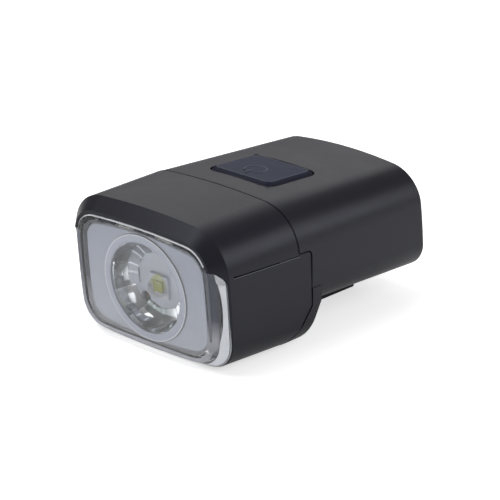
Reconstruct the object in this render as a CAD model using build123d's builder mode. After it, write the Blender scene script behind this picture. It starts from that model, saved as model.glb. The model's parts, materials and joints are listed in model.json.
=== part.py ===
from build123d import *
import os
from math import cos, radians, sin, tan

os.makedirs("parts", exist_ok=True)

# A handlebar headlight. +Z is up, the beam leaves towards -Y, +X is the rider's left.
# Y is measured from the foot of the lens front, Z from the underside of the head.
# The lens, the hood break and the seam all lean forward at the top by the same angle.

# Lean of the front planes and of the rear wall, in degrees
face_lean = 5.0
back_lean = 6.8

# Shared clearances and walls
wall = 1.8
slip = 0.12
cut_extra = 2.0
through = 60.0
rearward = (0, 1, 0)

# The battery cell sets the length of the rear body
cell_front = 25.6
cell_length = 34.5
cell_rear_room = 6.75

# Outline of the head at the hood break and at the seam
hood_break = 3.2
seam_place = 23.8
seam_half_width = 23.0
front_narrowing = 0.35
front_half_width = seam_half_width - front_narrowing
front_top = 32.45
seam_top = 32.7
top_crown = 1.4
side_crown = 0.4
belly_crown = 1.55
shoulder_radius = 9.8
belly_radius = 7.1
seam_belly_crown = 1.2
seam_belly_radius = 5.6

# Outline of the rear body at the seam and at its rear wall
rear_place = cell_front + cell_length + cell_rear_room
body_floor = 9.1
body_edge_radius = 4.0
rear_narrowing = 1.5
rear_half_width = seam_half_width - rear_narrowing
rear_top = 30.9
rear_floor = 5.7
rear_crown = 2.0
keel_crown = 0.3
rear_shoulder_radius = 8.6
rear_edge_radius = 6.5
rear_rounding = 1.0

# Course of the seam seen from the side: a step back over the cheek, then a slant under it
seam_gap = 0.2
tooth_height = 21.8
tooth_rise = 0.2
cheek_rear = 25.9
cheek_rear_low = 26.4
cheek_foot = 9.4
slant_foot = 18.8
tooth_radius = 1.4

# Neck under the front of the rear body
neck_foot = 24.1
neck_back = 29.4
neck_height = 9.6
neck_radius = 6.0
neck_sink = 0.1
neck_inset = 0.05

# Sunk cheek panels on both sides of the head
cheek_sink = 0.4
cheek_half_width = seam_half_width - cheek_sink
cheek_front = 3.4
groove_front_height = 22.5
groove_rear = 22.6
groove_front = 5.5
groove_height = 0.35
groove_depth = 0.5

# Hood lip and the notch in its sides that bares the lens
hood_lip = 0.8
hood_rim = 0.25
notch_height = 23.8
notch_radius = 3.4

# Clear lens: a shallow cap that flares out to fill the notch
lens_seat = 2.9
lens_wall = 1.1
lens_gap = 0.15
lens_splay = 2.2
lens_top = 28.7
lens_bottom = 1.7
lens_crown = 0.9
lens_side_crown = 0.6
lens_radius = 5.8
base_setback = 1.45
base_half_width = front_half_width - base_setback
lens_half_width = base_half_width - lens_splay
base_top = 29.5
base_bottom = 0.9
base_crown = 1.25
base_radius = 7.0
lens_rounding = 0.7
flare_inset = 0.05

# Front wall of the housing behind the lens, and the gasket in it
front_wall = 1.8
gasket_inset = 0.5
gasket_width = 0.9
gasket_depth = 0.8

# Silver bezel with a raised collar round the reflector
bezel_place = 1.5
bezel_wall = 1.1
bezel_depth = 2.9
bezel_gap = 0.15
bezel_margin = 1.8
bezel_half_width = lens_half_width - bezel_margin
bezel_top = 27.4
bezel_bottom = 3.1
bezel_crown = 1.5
bezel_side_crown = 0.3
bezel_radius = 4.6
bezel_rounding = 0.5
collar_radius = 12.3
collar_slope = 0.3

# Reflector: a cup of ten concave petals round the beam axis
axis_height = 14.9
rim_place = 1.2
cup_radius = 10.2
cup_depth = 4.8
cup_base_radius = 8.3
cup_lip = 0.75
lip_setback = 0.5
cup_flange_start = 1.55
rim_land = 0.35
petal_count = 10
petal_offset = 1.8
boss_setback = 5.5
cup_boss_place = bezel_half_width - boss_setback
cup_boss_radius = 1.9

# Light emitting diode on its white board
board_radius = 9.6
led_board_wall = 1.0
lead_slot_place = (-5.0, -5.5)
lead_slot_width = 2.9
lead_slot_height = 3.4
emitter_drop = 1.1
chip_base_side = 5.2
chip_base_wall = 0.7
phosphor_side = 2.3
phosphor_wall = 0.15
dome_radius = 2.45
dome_height = 2.2
pad_wall = 0.3

# Heat sink behind the board
sink_width = 31.0
sink_height = 20.0
sink_wall = 2.6
sink_corner = 2.0
fin_count = 7
fin_pitch = 2.9
fin_wall = 1.1
fin_length = 5.0
fin_height = 16.0
ear_setback = 3.75
sink_ear_place = front_half_width - ear_setback
sink_ear_radius = 1.85
sink_boss_radius = 1.5

# Small screws that hold the light engine together
m2_hole_radius = 0.8
m2_shank_radius = 0.78
m2_pass_radius = 1.1
m2_head_radius = 1.7
m2_head_height = 1.1
m2_length = 5.0
m2_socket_radius = 0.8
m2_socket_depth = 0.6

# Tongue of the rear housing inside the front one, with its seal
tongue_reach = 2.6
tongue_wall = 1.1
tongue_root = 3.0
seal_width = 1.0
seal_depth = 0.6
seal_setback = 0.7
seal_squeeze = 0.05

# Two countersunk screws under the head, into lugs on the tongue
lug_place = 12.0
lug_width = 6.0
lug_floor = 3.2
lug_height = 4.6
lug_length = 9.5
lug_hole_setback = 4.0
m25_hole_radius = 1.0
m25_shank_radius = 0.98
m25_pass_radius = 1.4
m25_head_radius = 2.3
m25_head_height = 1.3
m25_pan_radius = 2.2
m25_pan_height = 1.5
countersink_angle = 90
m25_socket_radius = 0.9
m25_socket_depth = 0.7
housing_screw_length = 6.0

# Battery cell on two ribs
cell_height = 9.3
cell_room = 0.4
cell_floor = 11.7
cell_radius = 1.6
tape_wall = 0.5
rib_place = 10.0
rib_wall = 1.2
embed = 0.3

# Main circuit board on four posts
board_top = 23.6
board_wall = 1.2
board_front = 23.6
board_setback = 6.45
board_rear = rear_place - board_setback
board_corner = 2.0
post_setback = 4.6
post_place = rear_half_width - post_setback
post_front = 27.5
post_rear_setback = 9.85
post_rear = rear_place - post_rear_setback
post_radius = 1.9
board_overhang = 1.4
board_half_width = post_place + board_overhang
cell_width = 2 * (post_place - post_radius) - cell_room

# Power button: rubber cap, diaphragm and clamp frame
button_place = 35.3
button_width = 18.2
button_length = 15.6
button_corner = 2.6
button_gap = 0.35
button_travel = 0.5
button_proud = 0.05
button_dish = 0.2
button_edge = 1.0
button_rounding = 0.3
button_flange_wall = 0.5
button_flange_grow = 0.9
button_flange_top = 29.3
button_stem_radius = 1.75
stem_foot = 27.3
ring_width = 1.2
ring_gap = 0.5
diaphragm_top = 27.9
diaphragm_wall = 0.5
stem_gap = 0.35
frame_wall = 0.9
frame_land = 1.8

# Tactile switch under the button
switch_side = 6.0
switch_height = 3.0
switch_corner = 0.5
plunger_radius = 1.5
plunger_gap = 0.1
plunger_sink = 0.8
plunger_slip = 0.08

# USB-C socket
usb_width = 8.94
usb_height = 3.2
usb_length = 7.3
usb_wall = 0.3
usb_gap = 0.15
tongue_blade_width = 6.7
tongue_blade_wall = 0.7
tongue_blade_setback = 0.9
usb_back_wall = 1.0

# Rubber port cover in a recess of the rear wall, hinged at its foot
cover_width = 16.0
cover_top = 29.0
hinge_height = 20.7
cover_wall = 1.5
cover_gap = 0.3
cover_corner = 1.2
cover_tab_width = 6.0
cover_tab_height = 1.0
cover_tab_wall = 0.7
recess_depth = 1.8
pad_grow = 1.4
pad_depth = 1.2
plug_width = 7.4
plug_height = 1.7
plug_reach = 0.6
anchor_height = 2.2
anchor_plug_radius = 1.1
anchor_head_radius = 1.6
anchor_head_wall = 0.8

# Slide-in shoe under the rear body
shoe_front = 32.0
shoe_length = 27.0
shoe_half_width = 7.0
shoe_neck_half_width = 4.5
shoe_foot_wall = 2.2
shoe_slot_height = 2.4
shoe_stop = 3.0
shoe_corner = 1.2
detent_place = 49.3
detent_length = 3.0
detent_width = 6.0
detent_depth = 1.0
shoe_screw_front = 37.7
shoe_screw_rear = 54.2
shoe_bore_radius = 2.4
shoe_bore_depth = 2.6
shoe_screw_length = 8.0
shoe_boss_radius = 2.7
shoe_boss_height = 1.6

# Components on the main board
chip_wall = 1.0
controller_side = 5.0
controller_place = (-9.5, 47.5)
charger_side = 4.0
charger_place = (10.5, 49.0)
inductor_side = 6.0
inductor_height = 2.6
inductor_corner = 1.0
inductor_place = (10.5, 41.5)
capacitor_length = 1.6
capacitor_width = 0.9
capacitor_height = 0.9
capacitor_pitch = 2.6
capacitor_count = 5
capacitor_place = (-13.8, 42.0)
header_width = 6.0
header_length = 4.2
header_height = 2.6
header_wall = 0.5
header_pocket = 3.0
header_place = 8.5

# Leads
lead_radius = 0.45
lead_pitch = 2.0
lead_turn = 18.6
lead_lift = 2.6
cell_lead_height = 16.4
cell_lead_turn = 22.6


# Helpers
def leaning_plane(place, lean=face_lean):
    """A plane that crosses the ground at this place and leans forward at the top."""
    slope = radians(lean)
    return Plane(origin=(0, place, 0), x_dir=(1, 0, 0), z_dir=(0, -cos(slope), -sin(slope)))


def lean_point(place, height, lean=face_lean):
    """The point at this height on such a plane, seen from the side."""
    return (place - height * tan(radians(lean)), height)


def crowned(plane, half_width, top, bottom, crowns, radii, inset=0):
    """A rounded rectangle whose four sides bulge, drawn on a leaning plane."""
    top_bulge, side_bulge, bottom_bulge = crowns
    top_radius, bottom_radius = radii
    wide = half_width - inset
    high = top - inset
    low = bottom + inset
    corner = wide - side_bulge
    middle = (high + low) / 2
    with BuildSketch(plane) as shape:
        with BuildLine():
            ThreePointArc((-corner, high - top_bulge), (0, high), (corner, high - top_bulge))
            ThreePointArc((corner, high - top_bulge), (wide, middle), (corner, low + bottom_bulge))
            ThreePointArc((corner, low + bottom_bulge), (0, low), (-corner, low + bottom_bulge))
            ThreePointArc((-corner, low + bottom_bulge), (-wide, middle), (-corner, high - top_bulge))
        make_face()
        fillet(shape.vertices().group_by(Axis.Y)[-1], top_radius - inset)
        fillet(shape.vertices().group_by(Axis.Y)[0], bottom_radius - inset)
    return shape.sketch


def lens_face(place, inset=0):
    """Front outline of the clear lens."""
    crowns = (lens_crown, lens_side_crown, lens_crown)
    radii = (lens_radius, lens_radius)
    return crowned(leaning_plane(place), lens_half_width, lens_top, lens_bottom, crowns, radii, inset)


def lens_base(place, inset=0):
    """Outline of the clear lens where it meets the housing."""
    crowns = (base_crown, lens_side_crown, base_crown)
    radii = (base_radius, base_radius)
    return crowned(leaning_plane(place), base_half_width, base_top, base_bottom, crowns, radii, inset)


def head_front(place, inset=0):
    """Outline of the head at the hood break."""
    crowns = (top_crown, side_crown, belly_crown)
    radii = (shoulder_radius, belly_radius)
    return crowned(leaning_plane(place), front_half_width, front_top, 0, crowns, radii, inset)


def head_seam(place, inset=0):
    """Outline of the head at the seam."""
    crowns = (top_crown, side_crown, seam_belly_crown)
    radii = (shoulder_radius, seam_belly_radius)
    return crowned(leaning_plane(place), seam_half_width, seam_top, 0, crowns, radii, inset)


def body_seam(place, inset=0):
    """Outline of the rear body at the seam, above the neck."""
    crowns = (top_crown, side_crown, keel_crown)
    radii = (shoulder_radius, body_edge_radius)
    return crowned(leaning_plane(place), seam_half_width, seam_top, body_floor, crowns, radii, inset)


def body_rear(place, inset=0):
    """Outline of the rear body at its rear wall."""
    crowns = (rear_crown, side_crown, keel_crown)
    radii = (rear_shoulder_radius, rear_edge_radius)
    plane = leaning_plane(place, back_lean)
    return crowned(plane, rear_half_width, rear_top, rear_floor, crowns, radii, inset)


def neck_rear(place, inset=0):
    """Outline of the rear wall if the neck ran on to it."""
    crowns = (rear_crown, side_crown, seam_belly_crown)
    radii = (rear_shoulder_radius, seam_belly_radius)
    return crowned(leaning_plane(place, back_lean), rear_half_width, rear_top, 0, crowns, radii, inset)


def bezel_outline(place, inset=0):
    """Outline of the silver bezel."""
    crowns = (bezel_crown, bezel_side_crown, bezel_crown)
    radii = (bezel_radius, bezel_radius)
    return crowned(leaning_plane(place), bezel_half_width, bezel_top, bezel_bottom, crowns, radii, inset)


def beam_plane(depth):
    """A plane square to the beam axis, this far behind the reflector's rim."""
    face = leaning_plane(rim_place)
    origin = face.from_local_coords((0, axis_height, -depth))
    return Plane(origin=origin, x_dir=(1, 0, 0), z_dir=face.z_dir)


def emitter_plane(depth):
    """A plane square to the beam axis, centred on the emitter a little below that axis."""
    plane = beam_plane(depth)
    origin = plane.from_local_coords((0, -emitter_drop, 0))
    return Plane(origin=origin, x_dir=(1, 0, 0), z_dir=plane.z_dir)


def underside(place):
    """Height of the rear body's underside at this place."""
    share = (place - seam_place) / (rear_place - seam_place)
    return body_floor + share * (rear_floor - body_floor)


def roof(place):
    """Height of the rear body's top at this place."""
    share = (place - seam_place) / (rear_place - seam_place)
    return seam_top + share * (rear_top - seam_top)


def seam_side(shift):
    """Everything in front of the seam, seen from the side, moved back by the shift."""
    head = lean_point(seam_place, through)
    step = lean_point(seam_place, tooth_height + tooth_rise)
    with BuildSketch(Plane.YZ) as side:
        with BuildLine():
            Polyline(
                (-through, -cut_extra),
                (slant_foot + shift, -cut_extra),
                (slant_foot + shift, 0),
                (cheek_rear_low + shift, cheek_foot - shift),
                (cheek_rear + shift, tooth_height + shift),
                (step[0] + shift, step[1] + shift),
                (head[0] + shift, head[1]),
                (-through, head[1]),
                close=True,
            )
        make_face()
        rears = side.vertices().filter_by(lambda v: v.Y > 0).filter_by(lambda v: v.X > seam_place)
        fillet(rears, tooth_radius)
    return side.sketch


def notch_side(back, drop, radius):
    """The hood notch seen from the side, drawn in by these shifts from its back and its top."""
    with BuildSketch(Plane.YZ) as side:
        with BuildLine():
            Polyline(
                lean_point(-through, -cut_extra),
                lean_point(lens_seat - back, -cut_extra),
                lean_point(lens_seat - back, notch_height - drop),
                lean_point(-through, notch_height - drop),
                close=True,
            )
        make_face()
        corner = side.vertices().group_by(Axis.Y)[-1].sort_by(Axis.X)[-1]
        fillet(corner, radius)
    return side.sketch


def neck_side(shift, top):
    """The neck seen from the side, drawn in by the shift."""
    with BuildSketch(Plane.YZ) as side:
        with BuildLine():
            Polyline(
                (0, shift - neck_sink),
                (neck_foot - shift, shift - neck_sink),
                (neck_back - shift, neck_height),
                (neck_back - shift, top),
                (0, top),
                close=True,
            )
        make_face()
        heel = side.vertices().group_by(Axis.Y)[0].sort_by(Axis.X)[-1]
        fillet(heel, neck_radius - shift)
    return side.sketch


def pan_screw(plane, places, length, sizes):
    """Pan-head screws whose heads sit on this plane and shanks run against its normal."""
    head_radius, head_height, shank_radius, socket_radius, socket_depth = sizes
    with BuildPart() as screws:
        with BuildSketch(plane):
            with Locations(*places):
                Circle(head_radius)
        extrude(amount=head_height)
        fillet(screws.faces().group_by(Axis(plane.origin, plane.z_dir))[-1].edges(), socket_depth / 2)
        with BuildSketch(plane.offset(head_height)):
            with Locations(*places):
                RegularPolygon(socket_radius, 6)
        extrude(amount=-socket_depth, mode=Mode.SUBTRACT)
        with BuildSketch(plane):
            with Locations(*places):
                Circle(shank_radius)
        extrude(amount=-length)
    return screws.part


def flat_screw(plane, places, length):
    """Countersunk screws with their heads flush to this plane, shanks against its normal."""
    with BuildPart() as screws:
        for place in places:
            with BuildSketch(plane) as top:
                with Locations(place):
                    Circle(m25_head_radius)
            with BuildSketch(plane.offset(-m25_head_height)) as root:
                with Locations(place):
                    Circle(m25_shank_radius)
            loft()
        with BuildSketch(plane):
            with Locations(*places):
                Circle(m25_shank_radius)
        extrude(amount=-length)
        with BuildSketch(plane):
            with Locations(*places):
                RegularPolygon(m25_socket_radius, 6)
        extrude(amount=-m25_socket_depth, mode=Mode.SUBTRACT)
    return screws.part


def save(piece, label):
    """Move a finished piece to the origin at the centre of the shoe's foot, name it and write it."""
    placed = piece.moved(Location((0, -foot_centre, 0)))
    placed.label = label
    export_step(placed, f"parts/{label}.step")


# Places that follow from the values above
foot_centre = shoe_front + shoe_length / 2
front_wall_back = lens_seat + front_wall
sink_front = cup_depth + led_board_wall + pad_wall
sink_back = sink_front + sink_wall
tongue_inset = wall + slip
bore_inset = tongue_inset + tongue_wall
usb_middle = board_top + usb_height / 2
rear_slope = tan(radians(back_lean))
recess_floor = rear_place - recess_depth
usb_mouth = recess_floor - usb_middle * rear_slope
post_places = [(x, y) for x in (-post_place, post_place) for y in (post_front, post_rear)]
shoe_screw_places = [(0, shoe_screw_front), (0, shoe_screw_rear)]
lug_hole_line = seam_place - tongue_reach - lug_hole_setback
lug_holes = [(-lug_place, lug_hole_line), (lug_place, lug_hole_line)]
belly_screw_foot = seam_belly_crown * (lug_place / seam_half_width) ** 2 + embed / 3
belly_plane = Plane(origin=(0, 0, belly_screw_foot), x_dir=(1, 0, 0), z_dir=(0, 0, -1))
m2_pan = (m2_head_radius, m2_head_height, m2_shank_radius, m2_socket_radius, m2_socket_depth)
m25_pan = (m25_pan_radius, m25_pan_height, m25_shank_radius, m25_socket_radius, m25_socket_depth)
ear_places = [(-sink_ear_place, 0), (sink_ear_place, 0)]
boss_places = [(-cup_boss_place, 0), (cup_boss_place, 0)]
opening_width = button_width + 2 * button_gap
opening_length = button_length + 2 * button_gap
ring_inner_width = button_width + 2 * (button_flange_grow + ring_gap)
ring_inner_length = button_length + 2 * (button_flange_grow + ring_gap)
ring_outer_width = ring_inner_width + 2 * ring_width
ring_outer_length = ring_inner_length + 2 * ring_width
anchor_top = hinge_height - cover_wall / 2 - cover_gap
recess_bottom = anchor_top - anchor_height - cover_gap
recess_top = cover_top + cover_gap
recess_middle = (recess_top + recess_bottom) / 2
recess_height = recess_top - recess_bottom
recess_width = cover_width + 2 * cover_gap
anchor_middle = anchor_top - anchor_height / 2
pad_width = recess_width + 2 * pad_grow
pad_height = recess_height + 2 * pad_grow

# Front housing: hood, cheeks and belly in one shell
with BuildPart() as front_housing:
    rim_grow = lens_gap + hood_lip
    loft(sections=[lens_face(hood_rim, -rim_grow), head_front(hood_break)], ruled=True)
    loft(sections=[head_front(hood_break), head_seam(seam_place)], ruled=True)
    extrude(to_extrude=head_seam(seam_place), amount=cheek_rear_low - slant_foot, dir=rearward)
    extrude(to_extrude=seam_side(0), amount=through, both=True, mode=Mode.INTERSECT)
    extrude(to_extrude=notch_side(0, 0, notch_radius), amount=through, both=True, mode=Mode.SUBTRACT)
    # hollow from the front wall back
    front_bore = [head_front(front_wall_back, wall), head_seam(seam_place, wall)]
    loft(sections=front_bore, ruled=True, mode=Mode.SUBTRACT)
    extrude(to_extrude=head_seam(seam_place, wall), amount=through, dir=rearward, mode=Mode.SUBTRACT)
    # pocket for the lens under the hood, gasket groove and bezel window
    lens_pocket = [lens_face(0, -lens_gap), lens_base(lens_seat, -lens_gap)]
    loft(sections=lens_pocket, ruled=True, mode=Mode.SUBTRACT)
    extrude(to_extrude=bezel_outline(0, -bezel_gap), amount=front_wall_back + cut_extra, dir=rearward,
            mode=Mode.SUBTRACT)
    gasket_ring = lens_base(lens_seat, gasket_inset) - lens_base(lens_seat, gasket_inset + gasket_width)
    extrude(to_extrude=gasket_ring, amount=gasket_depth, dir=rearward, mode=Mode.SUBTRACT)
    # sunk cheeks with a fine groove along their top
    for side in (-1, 1):
        cheek_plane = Plane.YZ.offset(side * cheek_half_width)
        with BuildSketch(cheek_plane):
            with BuildLine():
                Polyline(
                    lean_point(cheek_front, -cut_extra),
                    (cheek_rear_low + cut_extra, -cut_extra),
                    (cheek_rear_low + cut_extra, tooth_height),
                    (groove_rear, tooth_height),
                    lean_point(cheek_front, groove_front_height),
                    close=True,
                )
            make_face()
        extrude(amount=side * cut_extra, mode=Mode.SUBTRACT)
        with BuildSketch(cheek_plane):
            with BuildLine():
                Polyline(
                    (groove_front, groove_front_height),
                    (groove_rear, tooth_height - groove_height),
                    (groove_rear, tooth_height),
                    close=True,
                )
            make_face()
        extrude(amount=-side * groove_depth, mode=Mode.SUBTRACT)
    # bosses for the heat sink
    with BuildSketch(beam_plane(front_wall_back - rim_place - embed)):
        with Locations(*ear_places):
            Circle(sink_boss_radius)
    extrude(amount=-(sink_front - front_wall_back + rim_place + embed))
    with BuildSketch(beam_plane(sink_front)):
        with Locations(*ear_places):
            Circle(m2_hole_radius)
    extrude(amount=m2_length - sink_wall + embed, mode=Mode.SUBTRACT)
    # countersunk holes in the belly
    with BuildSketch(Plane.XY.offset(belly_screw_foot + embed)):
        with Locations(*lug_holes):
            Circle(m25_head_radius)
    extrude(amount=lug_floor - slip - belly_screw_foot - embed)
    with Locations(belly_plane):
        with Locations(*[(x, -y) for x, y in lug_holes]):
            sink_mouth = m25_head_radius + slip
            CounterSinkHole(m25_pass_radius, sink_mouth, lug_floor, counter_sink_angle=countersink_angle)
save(front_housing.part, "front_housing")

# Neck block under the front of the rear body
with BuildPart() as neck_block:
    extrude(to_extrude=head_seam(slant_foot, neck_inset), amount=seam_place - slant_foot, dir=rearward)
    loft(sections=[head_seam(seam_place, neck_inset), neck_rear(rear_place, neck_inset)], ruled=True)
    neck_top = body_floor + body_edge_radius
    extrude(to_extrude=neck_side(0, neck_top), amount=through, both=True, mode=Mode.INTERSECT)

# Tongue that slides into the front housing
with BuildPart() as tongue_block:
    extrude(to_extrude=head_seam(seam_place - tongue_reach, tongue_inset), amount=through, dir=rearward)
    extrude(to_extrude=neck_side(seam_gap, through), amount=through, both=True, mode=Mode.INTERSECT)

# Hollow of the rear housing: the bore of the tongue and neck, then the battery bay
with BuildPart() as rear_bore:
    extrude(to_extrude=head_seam(slant_foot - cut_extra, bore_inset), amount=through, dir=rearward)
    extrude(to_extrude=neck_side(wall, through), amount=through, both=True, mode=Mode.INTERSECT)
with BuildPart() as rear_bay:
    bay_front = body_seam(seam_place + tongue_root, wall)
    loft(sections=[bay_front, body_rear(rear_place - wall, wall)], ruled=True)

# Rear housing: battery bay, neck, tongue and everything that carries the inside
with BuildPart() as rear_housing:
    loft(sections=[body_seam(seam_place - cut_extra), body_rear(rear_place)], ruled=True)
    fillet(rear_housing.faces().sort_by(Axis.Y)[-1].edges(), rear_rounding)
    add(neck_block.part)
    extrude(to_extrude=seam_side(seam_gap), amount=through, both=True, mode=Mode.SUBTRACT)
    add(tongue_block.part)
    add(rear_bore.part, mode=Mode.SUBTRACT)
    add(rear_bay.part, mode=Mode.SUBTRACT)
    # posts for the board
    for x, y in post_places:
        post_floor = underside(y) + wall - embed
        with BuildSketch(Plane.XY.offset(post_floor)):
            with Locations((x, y)):
                Circle(post_radius)
        extrude(amount=board_top - board_wall - post_floor)
    with BuildSketch(Plane.XY.offset(board_top - board_wall)):
        with Locations(*post_places):
            Circle(m2_hole_radius)
    extrude(amount=-m2_length, mode=Mode.SUBTRACT)
    # ribs under the cell
    for x in (-rib_place, rib_place):
        with BuildSketch(Plane.YZ.offset(x)):
            with BuildLine():
                rib_front = neck_back
                rib_rear = cell_front + cell_length
                Polyline(
                    (rib_front, underside(rib_front) + wall - embed),
                    (rib_rear, underside(rib_rear) + wall - embed),
                    (rib_rear, cell_floor - tape_wall),
                    (rib_front, cell_floor - tape_wall),
                    close=True,
                )
            make_face()
        extrude(amount=rib_wall / 2, both=True)
    # bosses for the shoe screws
    for x, y in shoe_screw_places:
        boss_floor = underside(y) + wall - embed
        with BuildSketch(Plane.XY.offset(boss_floor)):
            with Locations((x, y)):
                Circle(shoe_boss_radius)
        extrude(amount=shoe_boss_height)
    with BuildSketch(Plane.XY):
        with Locations(*shoe_screw_places):
            Circle(m25_hole_radius)
    extrude(amount=shoe_bore_depth + shoe_screw_length, mode=Mode.SUBTRACT)
    # lugs for the belly screws
    for x, y in lug_holes:
        with BuildSketch(Plane.XY.offset(lug_floor)):
            with Locations((x, y - lug_hole_setback / 2)):
                Rectangle(lug_width, lug_length, align=(Align.CENTER, Align.MIN))
        extrude(amount=lug_height)
    with BuildSketch(Plane.XY.offset(lug_floor)):
        with Locations(*lug_holes):
            Circle(m25_hole_radius)
    extrude(amount=lug_height - embed, mode=Mode.SUBTRACT)
    # seal groove round the tongue
    groove_front_place = seam_place - seal_setback - seal_width
    seal_band = head_seam(groove_front_place, wall) - head_seam(groove_front_place, tongue_inset + seal_depth)
    extrude(to_extrude=seal_band, amount=seal_width, dir=rearward, mode=Mode.SUBTRACT)
    # collar under the roof that carries the diaphragm
    with BuildSketch(Plane.XY.offset(diaphragm_top)):
        with Locations((0, button_place)):
            RectangleRounded(ring_outer_width, ring_outer_length, button_corner)
            RectangleRounded(ring_inner_width, ring_inner_length, button_corner, mode=Mode.SUBTRACT)
    extrude(amount=roof(button_place) - wall - diaphragm_top + embed)
    # opening for the button
    with BuildSketch(Plane.XY.offset(diaphragm_top)):
        with Locations((0, button_place)):
            RectangleRounded(opening_width, opening_length, button_corner + button_gap)
    extrude(amount=through, mode=Mode.SUBTRACT)
    # pad, recess and mouth for the charging port
    with BuildSketch(leaning_plane(rear_place - wall + embed, back_lean)):
        with Locations((0, recess_middle)):
            RectangleRounded(pad_width, pad_height, cover_corner + pad_grow)
    extrude(amount=pad_depth + embed)
    with BuildSketch(leaning_plane(rear_place + cut_extra, back_lean)):
        with Locations((0, recess_middle)):
            RectangleRounded(recess_width, recess_height, cover_corner + cover_gap)
    extrude(amount=recess_depth + cut_extra, mode=Mode.SUBTRACT)
    with BuildSketch(Plane.XZ.offset(-rear_place)):
        with Locations((0, usb_middle)):
            SlotOverall(usb_width + 2 * usb_gap, usb_height + 2 * usb_gap)
    extrude(amount=rear_place - board_rear, mode=Mode.SUBTRACT)
    with BuildSketch(leaning_plane(rear_place, back_lean)):
        with Locations((0, anchor_middle)):
            Circle(anchor_plug_radius)
    extrude(amount=recess_depth + pad_depth + wall, mode=Mode.SUBTRACT)
save(rear_housing.part, "rear_housing")

# Clear lens: a cap under the hood that flares out to the housing's flanks in the notch
with BuildPart() as lens_flare:
    loft(sections=[lens_face(0), head_front(hood_break, flare_inset)], ruled=True)
    fillet(lens_flare.faces().sort_by(Axis.Y)[0].edges(), lens_rounding)
    flare_side = notch_side(lens_gap / 2, lens_gap / 2, notch_radius)
    extrude(to_extrude=flare_side, amount=through, both=True, mode=Mode.INTERSECT)
with BuildPart() as front_lens:
    loft(sections=[lens_face(0), lens_base(lens_seat)], ruled=True)
    fillet(front_lens.faces().sort_by(Axis.Y)[0].edges(), lens_rounding)
    add(lens_flare.part)
    hollow = [lens_face(lens_wall, lens_wall), lens_base(lens_seat + embed, lens_wall)]
    loft(sections=hollow, ruled=True, mode=Mode.SUBTRACT)
save(front_lens.part, "front_lens")

# Gasket in the front wall
with BuildPart() as lens_gasket:
    extrude(to_extrude=gasket_ring, amount=gasket_depth, dir=rearward)
save(lens_gasket.part, "lens_gasket")

# Silver bezel: a shallow tray with a raised collar, held in the window of the front wall
with BuildPart() as bezel_plate:
    extrude(to_extrude=bezel_outline(bezel_place), amount=bezel_depth, dir=rearward)
    fillet(bezel_plate.faces().sort_by(Axis.Y)[0].edges(), bezel_rounding)
    collar_depth = bezel_place - rim_place
    with BuildSketch(beam_plane(0)) as collar_front:
        Circle(collar_radius - collar_slope)
    with BuildSketch(beam_plane(collar_depth + bezel_wall / 2)) as collar_foot:
        Circle(collar_radius)
    loft()
    hollow_start = bezel_place + bezel_wall
    extrude(to_extrude=bezel_outline(hollow_start, bezel_wall), amount=bezel_depth, dir=rearward,
            mode=Mode.SUBTRACT)
    with BuildSketch(beam_plane(-cut_extra)):
        Circle(cup_radius)
    extrude(amount=-through, mode=Mode.SUBTRACT)
    with BuildSketch(beam_plane(lip_setback - slip / 2)):
        Circle(cup_radius + cup_lip + slip / 2)
    extrude(amount=-through, mode=Mode.SUBTRACT)
save(bezel_plate.part, "bezel_plate")

# One concave petal of the cup touches the rim circle and the base circle
petal_reach = cup_radius - petal_offset
petal_base = cup_base_radius - petal_offset
petal_centre = (petal_base ** 2 + cup_depth ** 2 - petal_reach ** 2) / (2 * cup_depth)
petal_radius = (petal_reach ** 2 + petal_centre ** 2) ** 0.5

# Reflector cup with its lip, flange and two screw bosses
with BuildPart() as reflector:
    with BuildSketch(beam_plane(lip_setback)):
        Circle(cup_radius + cup_lip)
    extrude(amount=-(cup_depth - lip_setback))
    with BuildSketch(beam_plane(cup_flange_start)):
        Rectangle(2 * cup_boss_place, 2 * cup_boss_radius)
    extrude(amount=-(cup_depth - cup_flange_start))
    with BuildSketch(beam_plane(cup_flange_start)):
        with Locations(*boss_places):
            Circle(cup_boss_radius)
    extrude(amount=-(sink_front - cup_flange_start))
    with Locations(beam_plane(petal_centre)):
        with PolarLocations(petal_offset, petal_count):
            Sphere(petal_radius, mode=Mode.SUBTRACT)
    with BuildSketch(beam_plane(-cut_extra)):
        Circle(cup_radius)
    extrude(amount=-(cut_extra + lip_setback + rim_land), mode=Mode.SUBTRACT)
    with BuildSketch(beam_plane(rim_land)):
        Circle(cup_base_radius)
    extrude(amount=-through, mode=Mode.SUBTRACT)
    with BuildSketch(beam_plane(sink_front)):
        with Locations(*boss_places):
            Circle(m2_hole_radius)
    extrude(amount=m2_length - sink_wall + embed, mode=Mode.SUBTRACT)
save(reflector.part, "reflector")

# White board with the slot that its leads leave through
with BuildPart() as led_board:
    with BuildSketch(beam_plane(cup_depth)):
        Circle(board_radius)
        with Locations(*boss_places):
            Circle(cup_boss_radius + slip / 2, mode=Mode.SUBTRACT)
        with Locations(lead_slot_place):
            SlotOverall(lead_slot_height, lead_slot_width, rotation=90, mode=Mode.SUBTRACT)
    extrude(amount=-led_board_wall)
save(led_board.part, "led_board")

with BuildPart() as thermal_pad:
    with BuildSketch(beam_plane(cup_depth + led_board_wall)):
        Circle(board_radius)
        with Locations(*boss_places):
            Circle(cup_boss_radius + slip / 2, mode=Mode.SUBTRACT)
        with Locations(lead_slot_place):
            SlotOverall(lead_slot_height, lead_slot_width, rotation=90, mode=Mode.SUBTRACT)
    extrude(amount=-pad_wall)
save(thermal_pad.part, "thermal_pad")

# Emitter: ceramic base, phosphor tile and clear dome
with BuildPart() as led_base:
    with BuildSketch(emitter_plane(cup_depth)):
        Rectangle(chip_base_side, chip_base_side)
    extrude(amount=chip_base_wall)
save(led_base.part, "led_base")

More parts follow.
